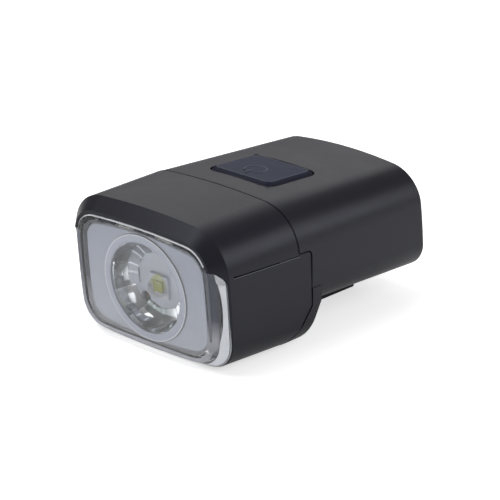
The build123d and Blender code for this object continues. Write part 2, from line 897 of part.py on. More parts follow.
with BuildPart() as led_phosphor:
    with BuildSketch(emitter_plane(cup_depth - chip_base_wall)):
        Rectangle(phosphor_side, phosphor_side)
    extrude(amount=phosphor_wall)
save(led_phosphor.part, "led_phosphor")

dome_foot = cup_depth - chip_base_wall
dome_ball = (dome_radius ** 2 + dome_height ** 2) / (2 * dome_height)
with BuildPart() as led_dome:
    with BuildSketch(emitter_plane(dome_foot)):
        Circle(dome_radius)
    extrude(amount=dome_height)
    with Locations(emitter_plane(dome_foot + dome_ball - dome_height)):
        Sphere(dome_ball, mode=Mode.INTERSECT)
    with BuildSketch(emitter_plane(dome_foot)):
        Rectangle(phosphor_side, phosphor_side)
    extrude(amount=phosphor_wall, mode=Mode.SUBTRACT)
save(led_dome.part, "led_dome")

# Heat sink: a plate with upright fins and two ears
with BuildPart() as heat_sink:
    with BuildSketch(beam_plane(sink_front)):
        RectangleRounded(sink_width, sink_height, sink_corner)
        with Locations(*ear_places):
            Circle(sink_ear_radius)
        Rectangle(2 * sink_ear_place, 2 * sink_ear_radius)
        with Locations(*ear_places, *boss_places):
            Circle(m2_pass_radius, mode=Mode.SUBTRACT)
        with Locations(lead_slot_place):
            SlotOverall(lead_slot_height, lead_slot_width, rotation=90, mode=Mode.SUBTRACT)
    extrude(amount=-sink_wall)
    with BuildSketch(beam_plane(sink_back)):
        with GridLocations(fin_pitch, fin_height, fin_count, 1):
            Rectangle(fin_wall, fin_height)
    extrude(amount=-fin_length)
    with BuildSketch(beam_plane(sink_back)):
        with Locations(lead_slot_place):
            SlotOverall(lead_slot_height, lead_slot_width, rotation=90)
    extrude(amount=-fin_length, mode=Mode.SUBTRACT)
save(heat_sink.part, "heat_sink")

# Screws of the light engine, both pairs from behind
back_view = beam_plane(sink_back)
screw_plane = Plane(origin=back_view.origin, x_dir=(-1, 0, 0), z_dir=-back_view.z_dir)
reflector_screws = pan_screw(screw_plane, boss_places, m2_length, m2_pan)
save(reflector_screws, "reflector_screws")
heat_sink_screws = pan_screw(screw_plane, ear_places, m2_length, m2_pan)
save(heat_sink_screws, "heat_sink_screws")

# Seal in the tongue's groove
with BuildPart() as housing_seal:
    outer_ring = head_seam(groove_front_place, wall + seal_squeeze)
    inner_ring = head_seam(groove_front_place, tongue_inset + seal_depth)
    extrude(to_extrude=outer_ring - inner_ring, amount=seal_width, dir=rearward)
save(housing_seal.part, "housing_seal")

# Countersunk screws in the belly, from below
housing_screws = flat_screw(belly_plane, [(x, -y) for x, y in lug_holes], housing_screw_length)
save(housing_screws, "housing_screws")

# Battery cell and the tape under it
with BuildPart() as battery_cell:
    with BuildSketch(Plane.XY.offset(cell_floor)):
        with Locations((0, cell_front + cell_length / 2)):
            Rectangle(cell_width, cell_length)
    extrude(amount=cell_height)
    fillet(battery_cell.edges().filter_by(Axis.Y), cell_radius)
save(battery_cell.part, "battery_cell")

with BuildPart() as battery_tape:
    with BuildSketch(Plane.XY.offset(cell_floor - tape_wall)):
        with Locations((0, neck_back + (cell_front + cell_length - neck_back) / 2)):
            Rectangle(2 * rib_place + rib_wall, cell_front + cell_length - neck_back)
    extrude(amount=tape_wall)
save(battery_tape.part, "battery_tape")

# Main board and its screws
board_length = board_rear - board_front
board_middle = board_front + board_length / 2
with BuildPart() as main_board:
    with BuildSketch(Plane.XY.offset(board_top - board_wall)):
        with Locations((0, board_middle)):
            RectangleRounded(2 * board_half_width, board_length, board_corner)
        with Locations(*post_places):
            Circle(m2_pass_radius, mode=Mode.SUBTRACT)
    extrude(amount=board_wall)
save(main_board.part, "main_board")

board_screws = pan_screw(Plane.XY.offset(board_top), post_places, m2_length, m2_pan)
save(board_screws, "board_screws")

# Tactile switch and its plunger
switch_top = board_top + switch_height
plunger_foot = switch_top - plunger_sink
with BuildPart() as switch_body:
    with BuildSketch(Plane.XY.offset(board_top)):
        with Locations((0, button_place)):
            RectangleRounded(switch_side, switch_side, switch_corner)
    extrude(amount=switch_height)
    with BuildSketch(Plane.XY.offset(switch_top)):
        with Locations((0, button_place)):
            Circle(plunger_radius + plunger_slip)
    extrude(amount=-(plunger_sink + button_travel + plunger_gap), mode=Mode.SUBTRACT)
save(switch_body.part, "switch_body")

with BuildPart() as switch_plunger:
    with BuildSketch(Plane.XY.offset(plunger_foot)):
        with Locations((0, button_place)):
            Circle(plunger_radius)
    extrude(amount=stem_foot - plunger_gap - plunger_foot)
save(switch_plunger.part, "switch_plunger")

# Rubber button: cap that follows the roof, with a raised edge, a flange and a stem
with BuildPart() as button_form:
    proud = [body_seam(seam_place - cut_extra, -button_proud), body_rear(rear_place, -button_proud)]
    loft(sections=proud, ruled=True)
with BuildPart() as dish_form:
    sunk = [body_seam(seam_place - cut_extra, button_dish), body_rear(rear_place, button_dish)]
    loft(sections=sunk, ruled=True)
with BuildPart() as button_dish_block:
    with BuildSketch(Plane.XY.offset(button_flange_top)):
        with Locations((0, button_place)):
            dish_width = button_width - 2 * button_edge
            dish_length = button_length - 2 * button_edge
            RectangleRounded(dish_width, dish_length, button_corner - button_edge)
    extrude(amount=through)
    add(dish_form.part, mode=Mode.SUBTRACT)
with BuildPart() as button_cap:
    with BuildSketch(Plane.XY.offset(button_flange_top)):
        with Locations((0, button_place)):
            RectangleRounded(button_width, button_length, button_corner)
    extrude(amount=through)
    add(button_form.part, mode=Mode.INTERSECT)
    fillet(button_cap.faces().sort_by(Axis.Z)[-1].edges(), button_rounding)
    add(button_dish_block.part, mode=Mode.SUBTRACT)
    with BuildSketch(Plane.XY.offset(button_flange_top)):
        with Locations((0, button_place)):
            flange_width = button_width + 2 * button_flange_grow
            flange_length = button_length + 2 * button_flange_grow
            RectangleRounded(flange_width, flange_length, button_corner + button_flange_grow)
    extrude(amount=-button_flange_wall)
    with BuildSketch(Plane.XY.offset(stem_foot)):
        with Locations((0, button_place)):
            Circle(button_stem_radius)
    extrude(amount=button_flange_top - stem_foot)
save(button_cap.part, "button_cap")

# Diaphragm that seals the button, and the frame that clamps it
with BuildPart() as button_diaphragm:
    with BuildSketch(Plane.XY.offset(diaphragm_top)):
        with Locations((0, button_place)):
            RectangleRounded(ring_outer_width, ring_outer_length, button_corner)
            Circle(button_stem_radius + stem_gap, mode=Mode.SUBTRACT)
    extrude(amount=-diaphragm_wall)
save(button_diaphragm.part, "button_diaphragm")

with BuildPart() as diaphragm_frame:
    with BuildSketch(Plane.XY.offset(diaphragm_top - diaphragm_wall)):
        with Locations((0, button_place)):
            RectangleRounded(ring_outer_width, ring_outer_length, button_corner)
            window_width = ring_outer_width - 2 * frame_land
            window_length = ring_outer_length - 2 * frame_land
            RectangleRounded(window_width, window_length, button_corner / 2, mode=Mode.SUBTRACT)
    extrude(amount=-frame_wall)
save(diaphragm_frame.part, "diaphragm_frame")

# Charging socket: drawn steel shell, moulded back and contact blade
with BuildPart() as usb_shell:
    with BuildSketch(Plane.XZ.offset(-usb_mouth)):
        with Locations((0, usb_middle)):
            SlotOverall(usb_width, usb_height)
            SlotOverall(usb_width - 2 * usb_wall, usb_height - 2 * usb_wall, mode=Mode.SUBTRACT)
    extrude(amount=usb_length)
save(usb_shell.part, "usb_shell")

with BuildPart() as usb_blade:
    with BuildSketch(Plane.XZ.offset(-(usb_mouth - usb_length + usb_back_wall))):
        with Locations((0, usb_middle)):
            SlotOverall(usb_width - 2 * usb_wall, usb_height - 2 * usb_wall)
    extrude(amount=usb_back_wall)
    with BuildSketch(Plane.XZ.offset(-(usb_mouth - tongue_blade_setback))):
        with Locations((0, usb_middle)):
            Rectangle(tongue_blade_width, tongue_blade_wall)
    extrude(amount=usb_length - tongue_blade_setback - usb_back_wall / 2)
save(usb_blade.part, "usb_blade")

# Port cover: a rubber flap with a plug lip, a pull tab and a round hinge edge
cover_plane = leaning_plane(rear_place, back_lean)
cover_height = cover_top - hinge_height
with BuildPart() as port_cover:
    with BuildSketch(cover_plane):
        with Locations((0, (cover_top + hinge_height) / 2)):
            RectangleRounded(cover_width, cover_height, cover_corner)
        with Locations((0, hinge_height + cover_corner / 2)):
            Rectangle(cover_width, cover_corner)
    extrude(amount=cover_wall)
    hinge_axis = cover_plane.from_local_coords((0, hinge_height, cover_wall / 2))
    with BuildSketch(Plane.YZ.offset(-cover_width / 2)):
        with Locations((hinge_axis.Y, hinge_axis.Z)):
            Circle(cover_wall / 2)
    extrude(amount=cover_width)
    with BuildSketch(cover_plane):
        with Locations((0, cover_top - cover_tab_height)):
            RectangleRounded(cover_tab_width, 2 * cover_tab_height, cover_tab_height / 2)
    extrude(amount=-cover_tab_wall)
    with BuildSketch(Plane.XZ.offset(-(usb_mouth + cover_gap))):
        with Locations((0, usb_middle)):
            SlotOverall(plug_width, plug_height)
    extrude(amount=plug_reach + cover_gap)
save(port_cover.part, "port_cover")

# Rubber anchor below the cover, plugged through the wall
with BuildPart() as cover_anchor:
    with BuildSketch(cover_plane):
        with Locations((0, anchor_middle)):
            RectangleRounded(cover_width, anchor_height, anchor_height / 2 - slip)
    extrude(amount=recess_depth)
    with BuildSketch(cover_plane):
        with Locations((0, anchor_middle)):
            Circle(anchor_plug_radius - slip / 2)
    extrude(amount=recess_depth + pad_depth + anchor_head_wall)
    with BuildSketch(cover_plane.offset(recess_depth + pad_depth)):
        with Locations((0, anchor_middle)):
            Circle(anchor_head_radius)
    extrude(amount=anchor_head_wall)
save(cover_anchor.part, "cover_anchor")

# Shoe of the slide-in mount: a T rail with a stop at its front end
with BuildPart() as body_form:
    loft(sections=[body_seam(seam_place - cut_extra), body_rear(rear_place)], ruled=True)
with BuildPart() as mount_shoe:
    with BuildSketch(Plane.XZ.offset(-shoe_front)):
        shoe_tall = body_floor + cut_extra
        neck_top = shoe_foot_wall + shoe_slot_height
        with Locations((0, shoe_foot_wall / 2)):
            Rectangle(2 * shoe_half_width, shoe_foot_wall)
        with Locations((0, neck_top / 2)):
            Rectangle(2 * shoe_neck_half_width, neck_top)
        with Locations((0, (neck_top + shoe_tall) / 2)):
            Rectangle(2 * shoe_half_width, shoe_tall - neck_top)
    extrude(amount=-shoe_length)
    with BuildSketch(Plane.XZ.offset(-shoe_front)):
        with Locations((0, shoe_tall / 2)):
            Rectangle(2 * shoe_half_width, shoe_tall)
    extrude(amount=-shoe_stop)
    foot_corners = mount_shoe.edges().filter_by(Axis.Z).group_by(Axis.Y)[-1]
    fillet(foot_corners, shoe_corner)
    with BuildSketch(Plane.XY):
        with Locations((0, detent_place)):
            Rectangle(detent_width, detent_length)
    extrude(amount=detent_depth, mode=Mode.SUBTRACT)
    with BuildSketch(Plane.XY):
        with Locations(*shoe_screw_places):
            Circle(shoe_bore_radius)
    extrude(amount=shoe_bore_depth, mode=Mode.SUBTRACT)
    with BuildSketch(Plane.XY):
        with Locations(*shoe_screw_places):
            Circle(m25_pass_radius)
    extrude(amount=through, mode=Mode.SUBTRACT)
    add(body_form.part, mode=Mode.SUBTRACT)
save(mount_shoe.part, "mount_shoe")

shoe_plane = Plane(origin=(0, 0, shoe_bore_depth), x_dir=(1, 0, 0), z_dir=(0, 0, -1))
shoe_spots = [(x, -y) for x, y in shoe_screw_places]
shoe_screws = pan_screw(shoe_plane, shoe_spots, shoe_screw_length, m25_pan)
save(shoe_screws, "shoe_screws")


def chip(label, place, side, height, corner):
    """A square component on the board."""
    with BuildPart() as body:
        with BuildSketch(Plane.XY.offset(board_top)):
            with Locations(place):
                RectangleRounded(side, side, corner)
        extrude(amount=height)
    save(body.part, label)


# Components on the board
chip("controller_chip", controller_place, controller_side, chip_wall, chip_wall / 5)
chip("charger_chip", charger_place, charger_side, chip_wall, chip_wall / 5)
chip("power_inductor", inductor_place, inductor_side, inductor_height, inductor_corner)

with BuildPart() as chip_capacitors:
    with BuildSketch(Plane.XY.offset(board_top)):
        with Locations(capacitor_place):
            with GridLocations(capacitor_pitch, capacitor_pitch, 1, capacitor_count):
                Rectangle(capacitor_length, capacitor_width)
    extrude(amount=capacitor_height)
save(chip_capacitors.part, "chip_capacitors")


def header(label, across):
    """A two-pin plug header at the front edge of the board, open to the front."""
    with BuildPart() as body:
        with BuildSketch(Plane.XY.offset(board_top)):
            with Locations((across, board_front + embed)):
                Rectangle(header_width, header_length, align=(Align.CENTER, Align.MIN))
        extrude(amount=header_height)
        with BuildSketch(Plane.XZ.offset(-(board_front + embed))):
            with Locations((across, board_top + header_height / 2)):
                Rectangle(header_width - 2 * header_wall, header_height - 2 * header_wall)
        extrude(amount=-header_pocket, mode=Mode.SUBTRACT)
    save(body.part, label)


header("led_header", -header_place)
header("battery_header", header_place)


def lead(label, points, radii):
    """An insulated lead along straight runs and tangent arcs."""
    with BuildPart() as wire:
        with BuildLine() as route:
            FilletPolyline(*points, radius=radii)
        start = Plane(origin=route.wire() @ 0, z_dir=route.wire() % 0)
        with BuildSketch(start):
            Circle(lead_radius)
        sweep()
    save(wire.part, label)


# Leads from the emitter's board, through the slot in the heat sink, to their header
socket_height = board_top + header_height / 2
socket_bottom = board_front + embed + header_pocket
for label, step in (("led_lead_red", 0.5), ("led_lead_black", -0.5)):
    rise = lead_pitch * step
    origin = beam_plane(cup_depth + led_board_wall).from_local_coords(
        (lead_slot_place[0], lead_slot_place[1] + rise / 2, 0))
    across = -header_place + rise
    points = [
        (origin.X, origin.Y, origin.Z),
        (origin.X, lead_turn - rise, origin.Z),
        (across, lead_turn - rise, socket_height),
        (across, socket_bottom, socket_height),
    ]
    lead(label, points, lead_lift)

# Leads from the cell's tabs, forward and up to their header
for label, step in (("battery_lead_red", 0.5), ("battery_lead_black", -0.5)):
    across = header_place + lead_pitch * step
    points = [
        (across, cell_front, cell_lead_height),
        (across, cell_lead_turn, cell_lead_height),
        (across, cell_lead_turn, socket_height),
        (across, socket_bottom, socket_height),
    ]
    lead(label, points, lead_radius * 3)
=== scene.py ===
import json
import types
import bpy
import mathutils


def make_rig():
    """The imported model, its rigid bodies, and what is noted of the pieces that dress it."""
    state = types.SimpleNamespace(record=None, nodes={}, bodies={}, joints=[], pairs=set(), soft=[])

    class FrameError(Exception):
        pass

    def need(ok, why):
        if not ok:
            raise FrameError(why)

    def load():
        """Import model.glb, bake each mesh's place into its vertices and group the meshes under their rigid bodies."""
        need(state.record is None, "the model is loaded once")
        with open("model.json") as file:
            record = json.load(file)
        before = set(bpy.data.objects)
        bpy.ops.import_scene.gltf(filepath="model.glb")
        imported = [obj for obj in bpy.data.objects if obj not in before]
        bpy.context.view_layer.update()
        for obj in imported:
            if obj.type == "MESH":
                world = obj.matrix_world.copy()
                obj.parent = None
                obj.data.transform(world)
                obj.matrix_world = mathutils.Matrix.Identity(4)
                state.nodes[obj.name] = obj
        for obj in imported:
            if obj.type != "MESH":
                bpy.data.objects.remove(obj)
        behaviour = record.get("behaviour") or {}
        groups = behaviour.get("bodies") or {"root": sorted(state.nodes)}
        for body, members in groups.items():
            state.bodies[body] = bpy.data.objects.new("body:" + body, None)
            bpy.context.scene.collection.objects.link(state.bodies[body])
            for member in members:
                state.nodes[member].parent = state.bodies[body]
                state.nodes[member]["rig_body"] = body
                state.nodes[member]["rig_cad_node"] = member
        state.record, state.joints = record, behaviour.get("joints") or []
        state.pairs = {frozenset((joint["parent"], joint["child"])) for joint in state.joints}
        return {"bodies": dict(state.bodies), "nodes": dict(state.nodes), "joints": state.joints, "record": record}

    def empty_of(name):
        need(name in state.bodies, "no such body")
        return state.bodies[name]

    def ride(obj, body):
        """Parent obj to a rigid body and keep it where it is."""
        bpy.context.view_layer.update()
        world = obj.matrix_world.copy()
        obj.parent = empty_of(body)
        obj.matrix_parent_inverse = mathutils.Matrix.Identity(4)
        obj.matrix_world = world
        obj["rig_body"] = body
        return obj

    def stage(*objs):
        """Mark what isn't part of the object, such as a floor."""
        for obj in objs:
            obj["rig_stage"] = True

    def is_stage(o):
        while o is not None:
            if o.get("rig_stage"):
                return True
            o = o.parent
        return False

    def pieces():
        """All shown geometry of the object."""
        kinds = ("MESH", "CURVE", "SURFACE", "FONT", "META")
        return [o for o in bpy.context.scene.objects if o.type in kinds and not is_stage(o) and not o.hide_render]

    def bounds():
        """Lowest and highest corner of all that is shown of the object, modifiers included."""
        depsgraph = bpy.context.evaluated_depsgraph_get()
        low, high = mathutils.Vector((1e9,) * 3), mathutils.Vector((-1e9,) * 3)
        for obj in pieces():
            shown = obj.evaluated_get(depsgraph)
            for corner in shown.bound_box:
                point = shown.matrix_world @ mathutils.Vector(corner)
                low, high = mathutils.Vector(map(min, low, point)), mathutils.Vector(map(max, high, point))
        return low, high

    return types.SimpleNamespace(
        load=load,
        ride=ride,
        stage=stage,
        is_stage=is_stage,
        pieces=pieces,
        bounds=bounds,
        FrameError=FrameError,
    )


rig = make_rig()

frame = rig.load()

import json
import math
import os

import bmesh
import bpy
from bpy.props import FloatProperty, FloatVectorProperty, PointerProperty
from mathutils import Vector

bl_info = {
    "name": "Handlebar headlight finish",
    "version": (1, 0, 0),
    "blender": (4, 5, 0),
    "location": "3D Viewport > Sidebar > Headlight",
    "description": "Materials, lens trim, seam lines, petals, thumb pad, stage and camera",
    "category": "Object",
}

MM = 0.001

# Places that the part's construction gives, in millimetres. A depth is measured behind the foot
# of the front plane, and a groove's or the button's place along Y from the middle of the foot.
FOOT_CENTRE = 45.5
FACE_LEAN = math.radians(5.0)
AXIS_HEIGHT = 14.9
SECTION_MIDDLE = 15.0
SEAT_DEPTH = 2.8
BOARD_DEPTH = 6.0
SEAM_DEPTH = 23.8
COLLAR_RADIUS = 12.0
CUP_RADIUS = 10.2
GROOVE_FRONT = 2.6 - FOOT_CENTRE
GROOVE_REAR = 22.6 - FOOT_CENTRE
GROOVE_TOP = 22.6
GROOVE_FALL = 0.041
BUTTON_Y = 35.3 - FOOT_CENTRE
BUTTON_WIDTH = 18.2
BUTTON_LENGTH = 15.6
BUTTON_CORNER = 2.6
BUTTON_EDGE = 1.0
BUTTON_SINK = 0.25

# Rays start this far out, in metres, which is clear of the part
OUTSIDE = 0.05

# Section cuts: edges nearly along the ray are passed over, and an edge's ends count as on it
PARALLEL = 1e-9
END_SLACK = 1e-6

# Soft masks, in millimetres: a limit past the part on every side, the height at which the painted
# light on the parts behind the lens gives way to painted shade, the height that this takes, and the colour of that
# painted shade
NO_LIMIT = 60.0
FADE_START = 8.0
FADE_LENGTH = 4.5
PAINTED_SHADE_COLOR = (0.03, 0.04, 0.07)

# A face looks ahead where its normal's Y is below this
FACING_AHEAD = -0.97

# How much darker and lighter the mottle makes a colour, as a share of it
MOTTLE = 0.08

BLACK = (0.0, 0.0, 0.0, 1.0)
WHITE = (1.0, 1.0, 1.0, 1.0)

# Seam line, painted shade in the gap between the halves: degrees round the section, and each
# row's node and place as a share of half the width. It widens where the angle's sine passes a
# limit, at this rate, so the painted shade is wider over the top. The seam and groove lines
# stand proud of the housing by a share of the trim's depth.
SEAM_ARC = (18, 163, 1)
SEAM_ROWS = (("front_housing", -1), ("front_housing", -0.4), ("rear_housing", 0.4),
             ("rear_housing", 1))
SEAM_WIDE_FROM = 0.62
SEAM_WIDE_RATE = 10
PROUD_SHARE = 1 / 3

# Groove lines: the points along each, then its piece, its finish, and how far its top and its
# foot lie below the top of the groove, in millimetres. The first is painted shade in the groove
# and the second a painted highlight under it
GROOVE_POINTS = 40
GROOVE_LINES = (("groove_gap", "gap", 0.0, 0.4), ("groove_lip", "lip", 0.4, 0.56))

# Inner petals, in millimetres: the middle of their ring, its outer radius, how far a tip's
# corners are drawn back, how far the tips and then the outer ends stand ahead of the board, the
# power of the slope between them, and the hollow across its middle
PETALS = 10
OPEN_PETAL = PETALS // 2
PETAL_CENTRE = 15.2
PETAL_OUTER = 8.85
PETAL_CORNER = 0.4
PETAL_FOOT = 0.03
PETAL_RISE = 0.9
PETAL_CURVE = 1.6
PETAL_BOW = 0.3
PETAL_ROWS = 8
PETAL_COLUMNS = 12

# Lens trim: degrees round the section, then depths, heights and gaps in millimetres. The clear
# window cuts into the frosted edge between its foot and its top, and a lower power fills it out.
FROST_ARC = (-208, 30, 2)
FROST_FRONT = 1.35
FROST_REAR = 2.7
FROST_SHARES = (0.0, 0.25, 0.5, 0.75, 1.0)
WINDOW_FOOT = 8.0
WINDOW_TOP = 22.3
WINDOW_POWER = 0.7
# The painted highlight along the lens's top edge
HIGHLIGHT_ARC = (28, 153, 1)
HIGHLIGHT_DEPTHS = (0.1, 0.2, 0.35, 0.55, 0.8)
# The sheet of painted glow inside the lower rim
RIM_GLOW_ARC = (-205, -28, 2)
RIM_GLOW_DEPTH = 0.7
RIM_GLOW_GAPS = (-0.06, -0.5, -0.95, -1.4)
SHELF_ARC = (0, 360, 2)
SHELF_INNER_DEPTH = 2.5
SHELF_INNER_GAP = 0.1
SHELF_OUTER_DEPTH = 2.6
SHELF_OUTER_GAP = -0.05

# Thumb pad: its distance from the button's edge in millimetres, each loop's share of the slope
# and of the rise, and how far the top's loops are drawn in to close it
PAD_INSET = 0.15
PAD_SIDE = ((0.0, -0.7), (0.04, 0.16), (0.35, 0.42), (0.65, 0.74), (0.86, 0.92))
PAD_LIP = ((0.86, 0.92), (0.93, 0.985), (1.0, 1.0), (1.08, 1.0))
PAD_TOP_SCALES = (1.0, 0.9, 0.7, 0.5, 0.3, 0.1, 0.01)
CORNER_STEPS = 8

# Power symbol: half of the ring's gap, the bar's start and length as shares of the ring's radius,
# and how deep the line's edges are sunk as a share of its height
SYMBOL_GAP = math.radians(38)
SYMBOL_POINTS = 48
BAR_START = 0.35
BAR_LENGTH = 0.9
BAR_POINTS = 10
RIDGE_STEPS = 8
RIDGE_SINK = 0.1

# Stage: the floor's half width in metres, the share of its glow that gloss shows, and the
# strength of the light from all round
FLOOR_HALF = 3.0
FLOOR_IN_GLOSS = 0.3
SURROUND_LIGHT = 0.25

# Lamps, in metres: the place, the height over the middle that it aims at, and the width
LAMPS = (("key", (-0.15, -0.13, 0.43), 0.01, 0.35),
         ("fill", (0.37, -0.14, 0.3), 0.015, 0.25),
         ("side", (0.37, 0.32, 0.19), 0.02, 0.24),
         ("back", (-0.32, 0.36, 0.33), 0.02, 0.4))

# Camera, as fitted to the photograph: angles, and distances in millimetres
CAMERA_AZIMUTH = math.radians(43.11)
CAMERA_ELEVATION = math.radians(21.03)
CAMERA_TARGET = (0, 30.0 - FOOT_CENTRE, 16.0)
CAMERA_DISTANCE = 503.93
CAMERA_RIGHT = 0.99
CAMERA_DOWN = 1.12
SENSOR_WIDTH = 36.0

# Finishes that have the grain and no other colour over it. A grain is its scale, its height in
# millimetres and how far it spreads the roughness.
PLAIN_FINISHES = {
    # A painted highlight along the top edge of the lens
    "bright_edge": dict(color=(0.8, 0.81, 0.85), roughness=0.2, grain=(6.0, 0.002, 0.04)),
    # Painted shade in the seam and the grooves
    "gap": dict(color=(0.002, 0.002, 0.003), roughness=0.9, grain=(9.0, 0.004, 0.05),
                specular=0.02),
    # A painted highlight under the grooves
    "lip": dict(color=(0.085, 0.09, 0.11), roughness=0.4, grain=(9.0, 0.004, 0.05),
                specular=0.3),
    "white_board": dict(color=(0.56, 0.6, 0.7), roughness=0.35, grain=(7.0, 0.004, 0.1)),
    "pad": dict(color=(0.3, 0.36, 0.42), roughness=0.7, grain=(4.0, 0.03, 0.1)),
    "phosphor": dict(color=(0.62, 0.66, 0.06), roughness=0.5, grain=(14.0, 0.01, 0.1)),
    "metal": dict(color=(0.6, 0.61, 0.63), roughness=0.35, metallic=1.0, grain=(3.0, 0.01, 0.12)),
    "steel": dict(color=(0.42, 0.42, 0.43), roughness=0.28, metallic=1.0,
                  grain=(5.0, 0.006, 0.12)),
    "cell_wrap": dict(color=(0.03, 0.1, 0.26), roughness=0.3, grain=(0.8, 0.05, 0.1)),
    "tape": dict(color=(0.7, 0.69, 0.62), roughness=0.85, grain=(5.0, 0.05, 0.1)),
    "switch_case": dict(color=(0.02, 0.02, 0.02), roughness=0.3, grain=(7.0, 0.004, 0.06)),
    "switch_tip": dict(color=(0.5, 0.47, 0.38), roughness=0.45, grain=(7.0, 0.004, 0.06)),
    "button_rubber": dict(color=(0.02, 0.021, 0.034), roughness=0.5, grain=(12.0, 0.012, 0.08),
                          specular=0.1),
    # Lit and shaded copies of the button's rubber: the top lit, the side shaded, and the lip and symbol a painted
    # highlight
    "button_top": dict(color=(0.023, 0.028, 0.05), roughness=0.55, grain=(12.0, 0.012, 0.08),
                       specular=0.15),
    "button_side": dict(color=(0.02, 0.021, 0.034), roughness=0.6, grain=(12.0, 0.012, 0.08),
                        specular=0.06),
    "button_lip": dict(color=(0.055, 0.06, 0.085), roughness=0.45, grain=(12.0, 0.006, 0.08),
                       specular=0.2),
    "cover_rubber": dict(color=(0.018, 0.018, 0.02), roughness=0.6, grain=(12.0, 0.015, 0.08)),
    "seal": dict(color=(0.02, 0.02, 0.02), roughness=0.7, grain=(10.0, 0.015, 0.08)),
    "chip_case": dict(color=(0.012, 0.012, 0.012), roughness=0.45, grain=(12.0, 0.006, 0.06)),
    "ferrite": dict(color=(0.05, 0.05, 0.05), roughness=0.6, grain=(10.0, 0.02, 0.1)),
    "header_case": dict(color=(0.62, 0.56, 0.42), roughness=0.45, grain=(6.0, 0.006, 0.06)),
    "red_sleeve": dict(color=(0.38, 0.01, 0.008), roughness=0.4, grain=(5.0, 0.006, 0.06)),
    "black_sleeve": dict(color=(0.012, 0.012, 0.012), roughness=0.4, grain=(5.0, 0.006, 0.06)),
}

# CAD nodes whose finish isn't their material slot's
OWN_FINISH = {"led_dome": "dome", "lens_gasket": "pale_seal"}


def clamp(value):
    """The value, kept between 0 and 1."""
    return min(1.0, max(0.0, value))


# Node groups
def new_group(name, inputs, outputs):
    """An empty shader node group with the given sockets, and its two end nodes."""
    group = bpy.data.node_groups.new(name, "ShaderNodeTree")
    for label, kind, value in inputs:
        socket = group.interface.new_socket(label, in_out="INPUT", socket_type=kind)
        if value is not None:
            socket.default_value = value
    for label, kind in outputs:
        group.interface.new_socket(label, in_out="OUTPUT", socket_type=kind)
    start = group.nodes.new("NodeGroupInput")
    end = group.nodes.new("NodeGroupOutput")
    return group, start, end


def add_node(tree, kind, inputs=None, **values):
    """A node in the tree, with attributes set by name and inputs set by index or name."""
    node = tree.nodes.new(kind)
    for key, value in values.items():
        setattr(node, key, value)
    for key, value in (inputs or {}).items():
        if isinstance(value, bpy.types.NodeSocket):
            tree.links.new(value, node.inputs[key])
        else:
            node.inputs[key].default_value = value
    return node


def math_node(tree, operation, *values, clamped=False):
    """The output of one math node."""
    node = add_node(tree, "ShaderNodeMath", operation=operation, use_clamp=clamped,
                    inputs=dict(enumerate(values)))
    return node.outputs[0]


def place_group():
    """The place of a point in millimetres, and its depth behind the foot of the front plane."""
    group, _, end = new_group("Part place", [], [
        ("X", "NodeSocketFloat"), ("Y", "NodeSocketFloat"), ("Z", "NodeSocketFloat"),
        ("Depth", "NodeSocketFloat"), ("Position", "NodeSocketVector")])
    place = add_node(group, "ShaderNodeTexCoord")
    scaled = add_node(group, "ShaderNodeVectorMath", operation="SCALE",
                      inputs={0: place.outputs["Object"], "Scale": 1 / MM})
    parts = add_node(group, "ShaderNodeSeparateXYZ", inputs={0: scaled.outputs[0]})
    lean = math_node(group, "MULTIPLY", parts.outputs["Z"], math.tan(FACE_LEAN))
    upright = math_node(group, "ADD", parts.outputs["Y"], lean)
    for label in ("X", "Y", "Z"):
        group.links.new(parts.outputs[label], end.inputs[label])
    group.links.new(math_node(group, "ADD", upright, FOOT_CENTRE), end.inputs["Depth"])
    group.links.new(scaled.outputs[0], end.inputs["Position"])
    return group


def grain_group():
    """Fine moulding grain: an offset to the roughness, a bumped normal and a broad mottle."""
    group, start, end = new_group(
        "Moulding grain",
        [("Position", "NodeSocketVector", None), ("Scale", "NodeSocketFloat", 6.0),
         ("Height", "NodeSocketFloat", 0.01), ("Spread", "NodeSocketFloat", 0.05)],
        [("Roughness offset", "NodeSocketFloat"), ("Normal", "NodeSocketVector"),
         ("Mottle", "NodeSocketFloat")])
    fine = add_node(group, "ShaderNodeTexNoise", inputs={
        "Vector": start.outputs["Position"], "Scale": start.outputs["Scale"],
        "Detail": 3.0, "Roughness": 0.6})
    broad = add_node(group, "ShaderNodeTexNoise", inputs={
        "Vector": start.outputs["Position"], "Scale": 0.16, "Detail": 2.0, "Roughness": 0.5})
    centred = math_node(group, "SUBTRACT", broad.outputs["Fac"], 0.5)
    offset = math_node(group, "MULTIPLY", centred, start.outputs["Spread"])
    bump = add_node(group, "ShaderNodeBump", inputs={
        "Strength": 1.0, "Distance": start.outputs["Height"], "Height": fine.outputs["Fac"]})
    group.links.new(offset, end.inputs["Roughness offset"])
    group.links.new(bump.outputs["Normal"], end.inputs["Normal"])
    group.links.new(broad.outputs["Fac"], end.inputs["Mottle"])
    return group


def window_group():
    """A soft mask that is 1 between Low and High of the value and 0 outside."""
    group, start, end = new_group(
        "Soft window",
        [("Value", "NodeSocketFloat", 0.0), ("Low", "NodeSocketFloat", 0.0),
         ("High", "NodeSocketFloat", 1.0), ("Edge", "NodeSocketFloat", 0.1)],
        [("Mask", "NodeSocketFloat")])
    value, low, high, edge = (start.outputs[label] for label in ("Value", "Low", "High", "Edge"))
    rise, fall = (
        math_node(group, "DIVIDE", math_node(group, "SUBTRACT", one, other), edge, clamped=True)
        for one, other in ((value, low), (high, value)))
    group.links.new(math_node(group, "MULTIPLY", rise, fall), end.inputs["Mask"])
    return group


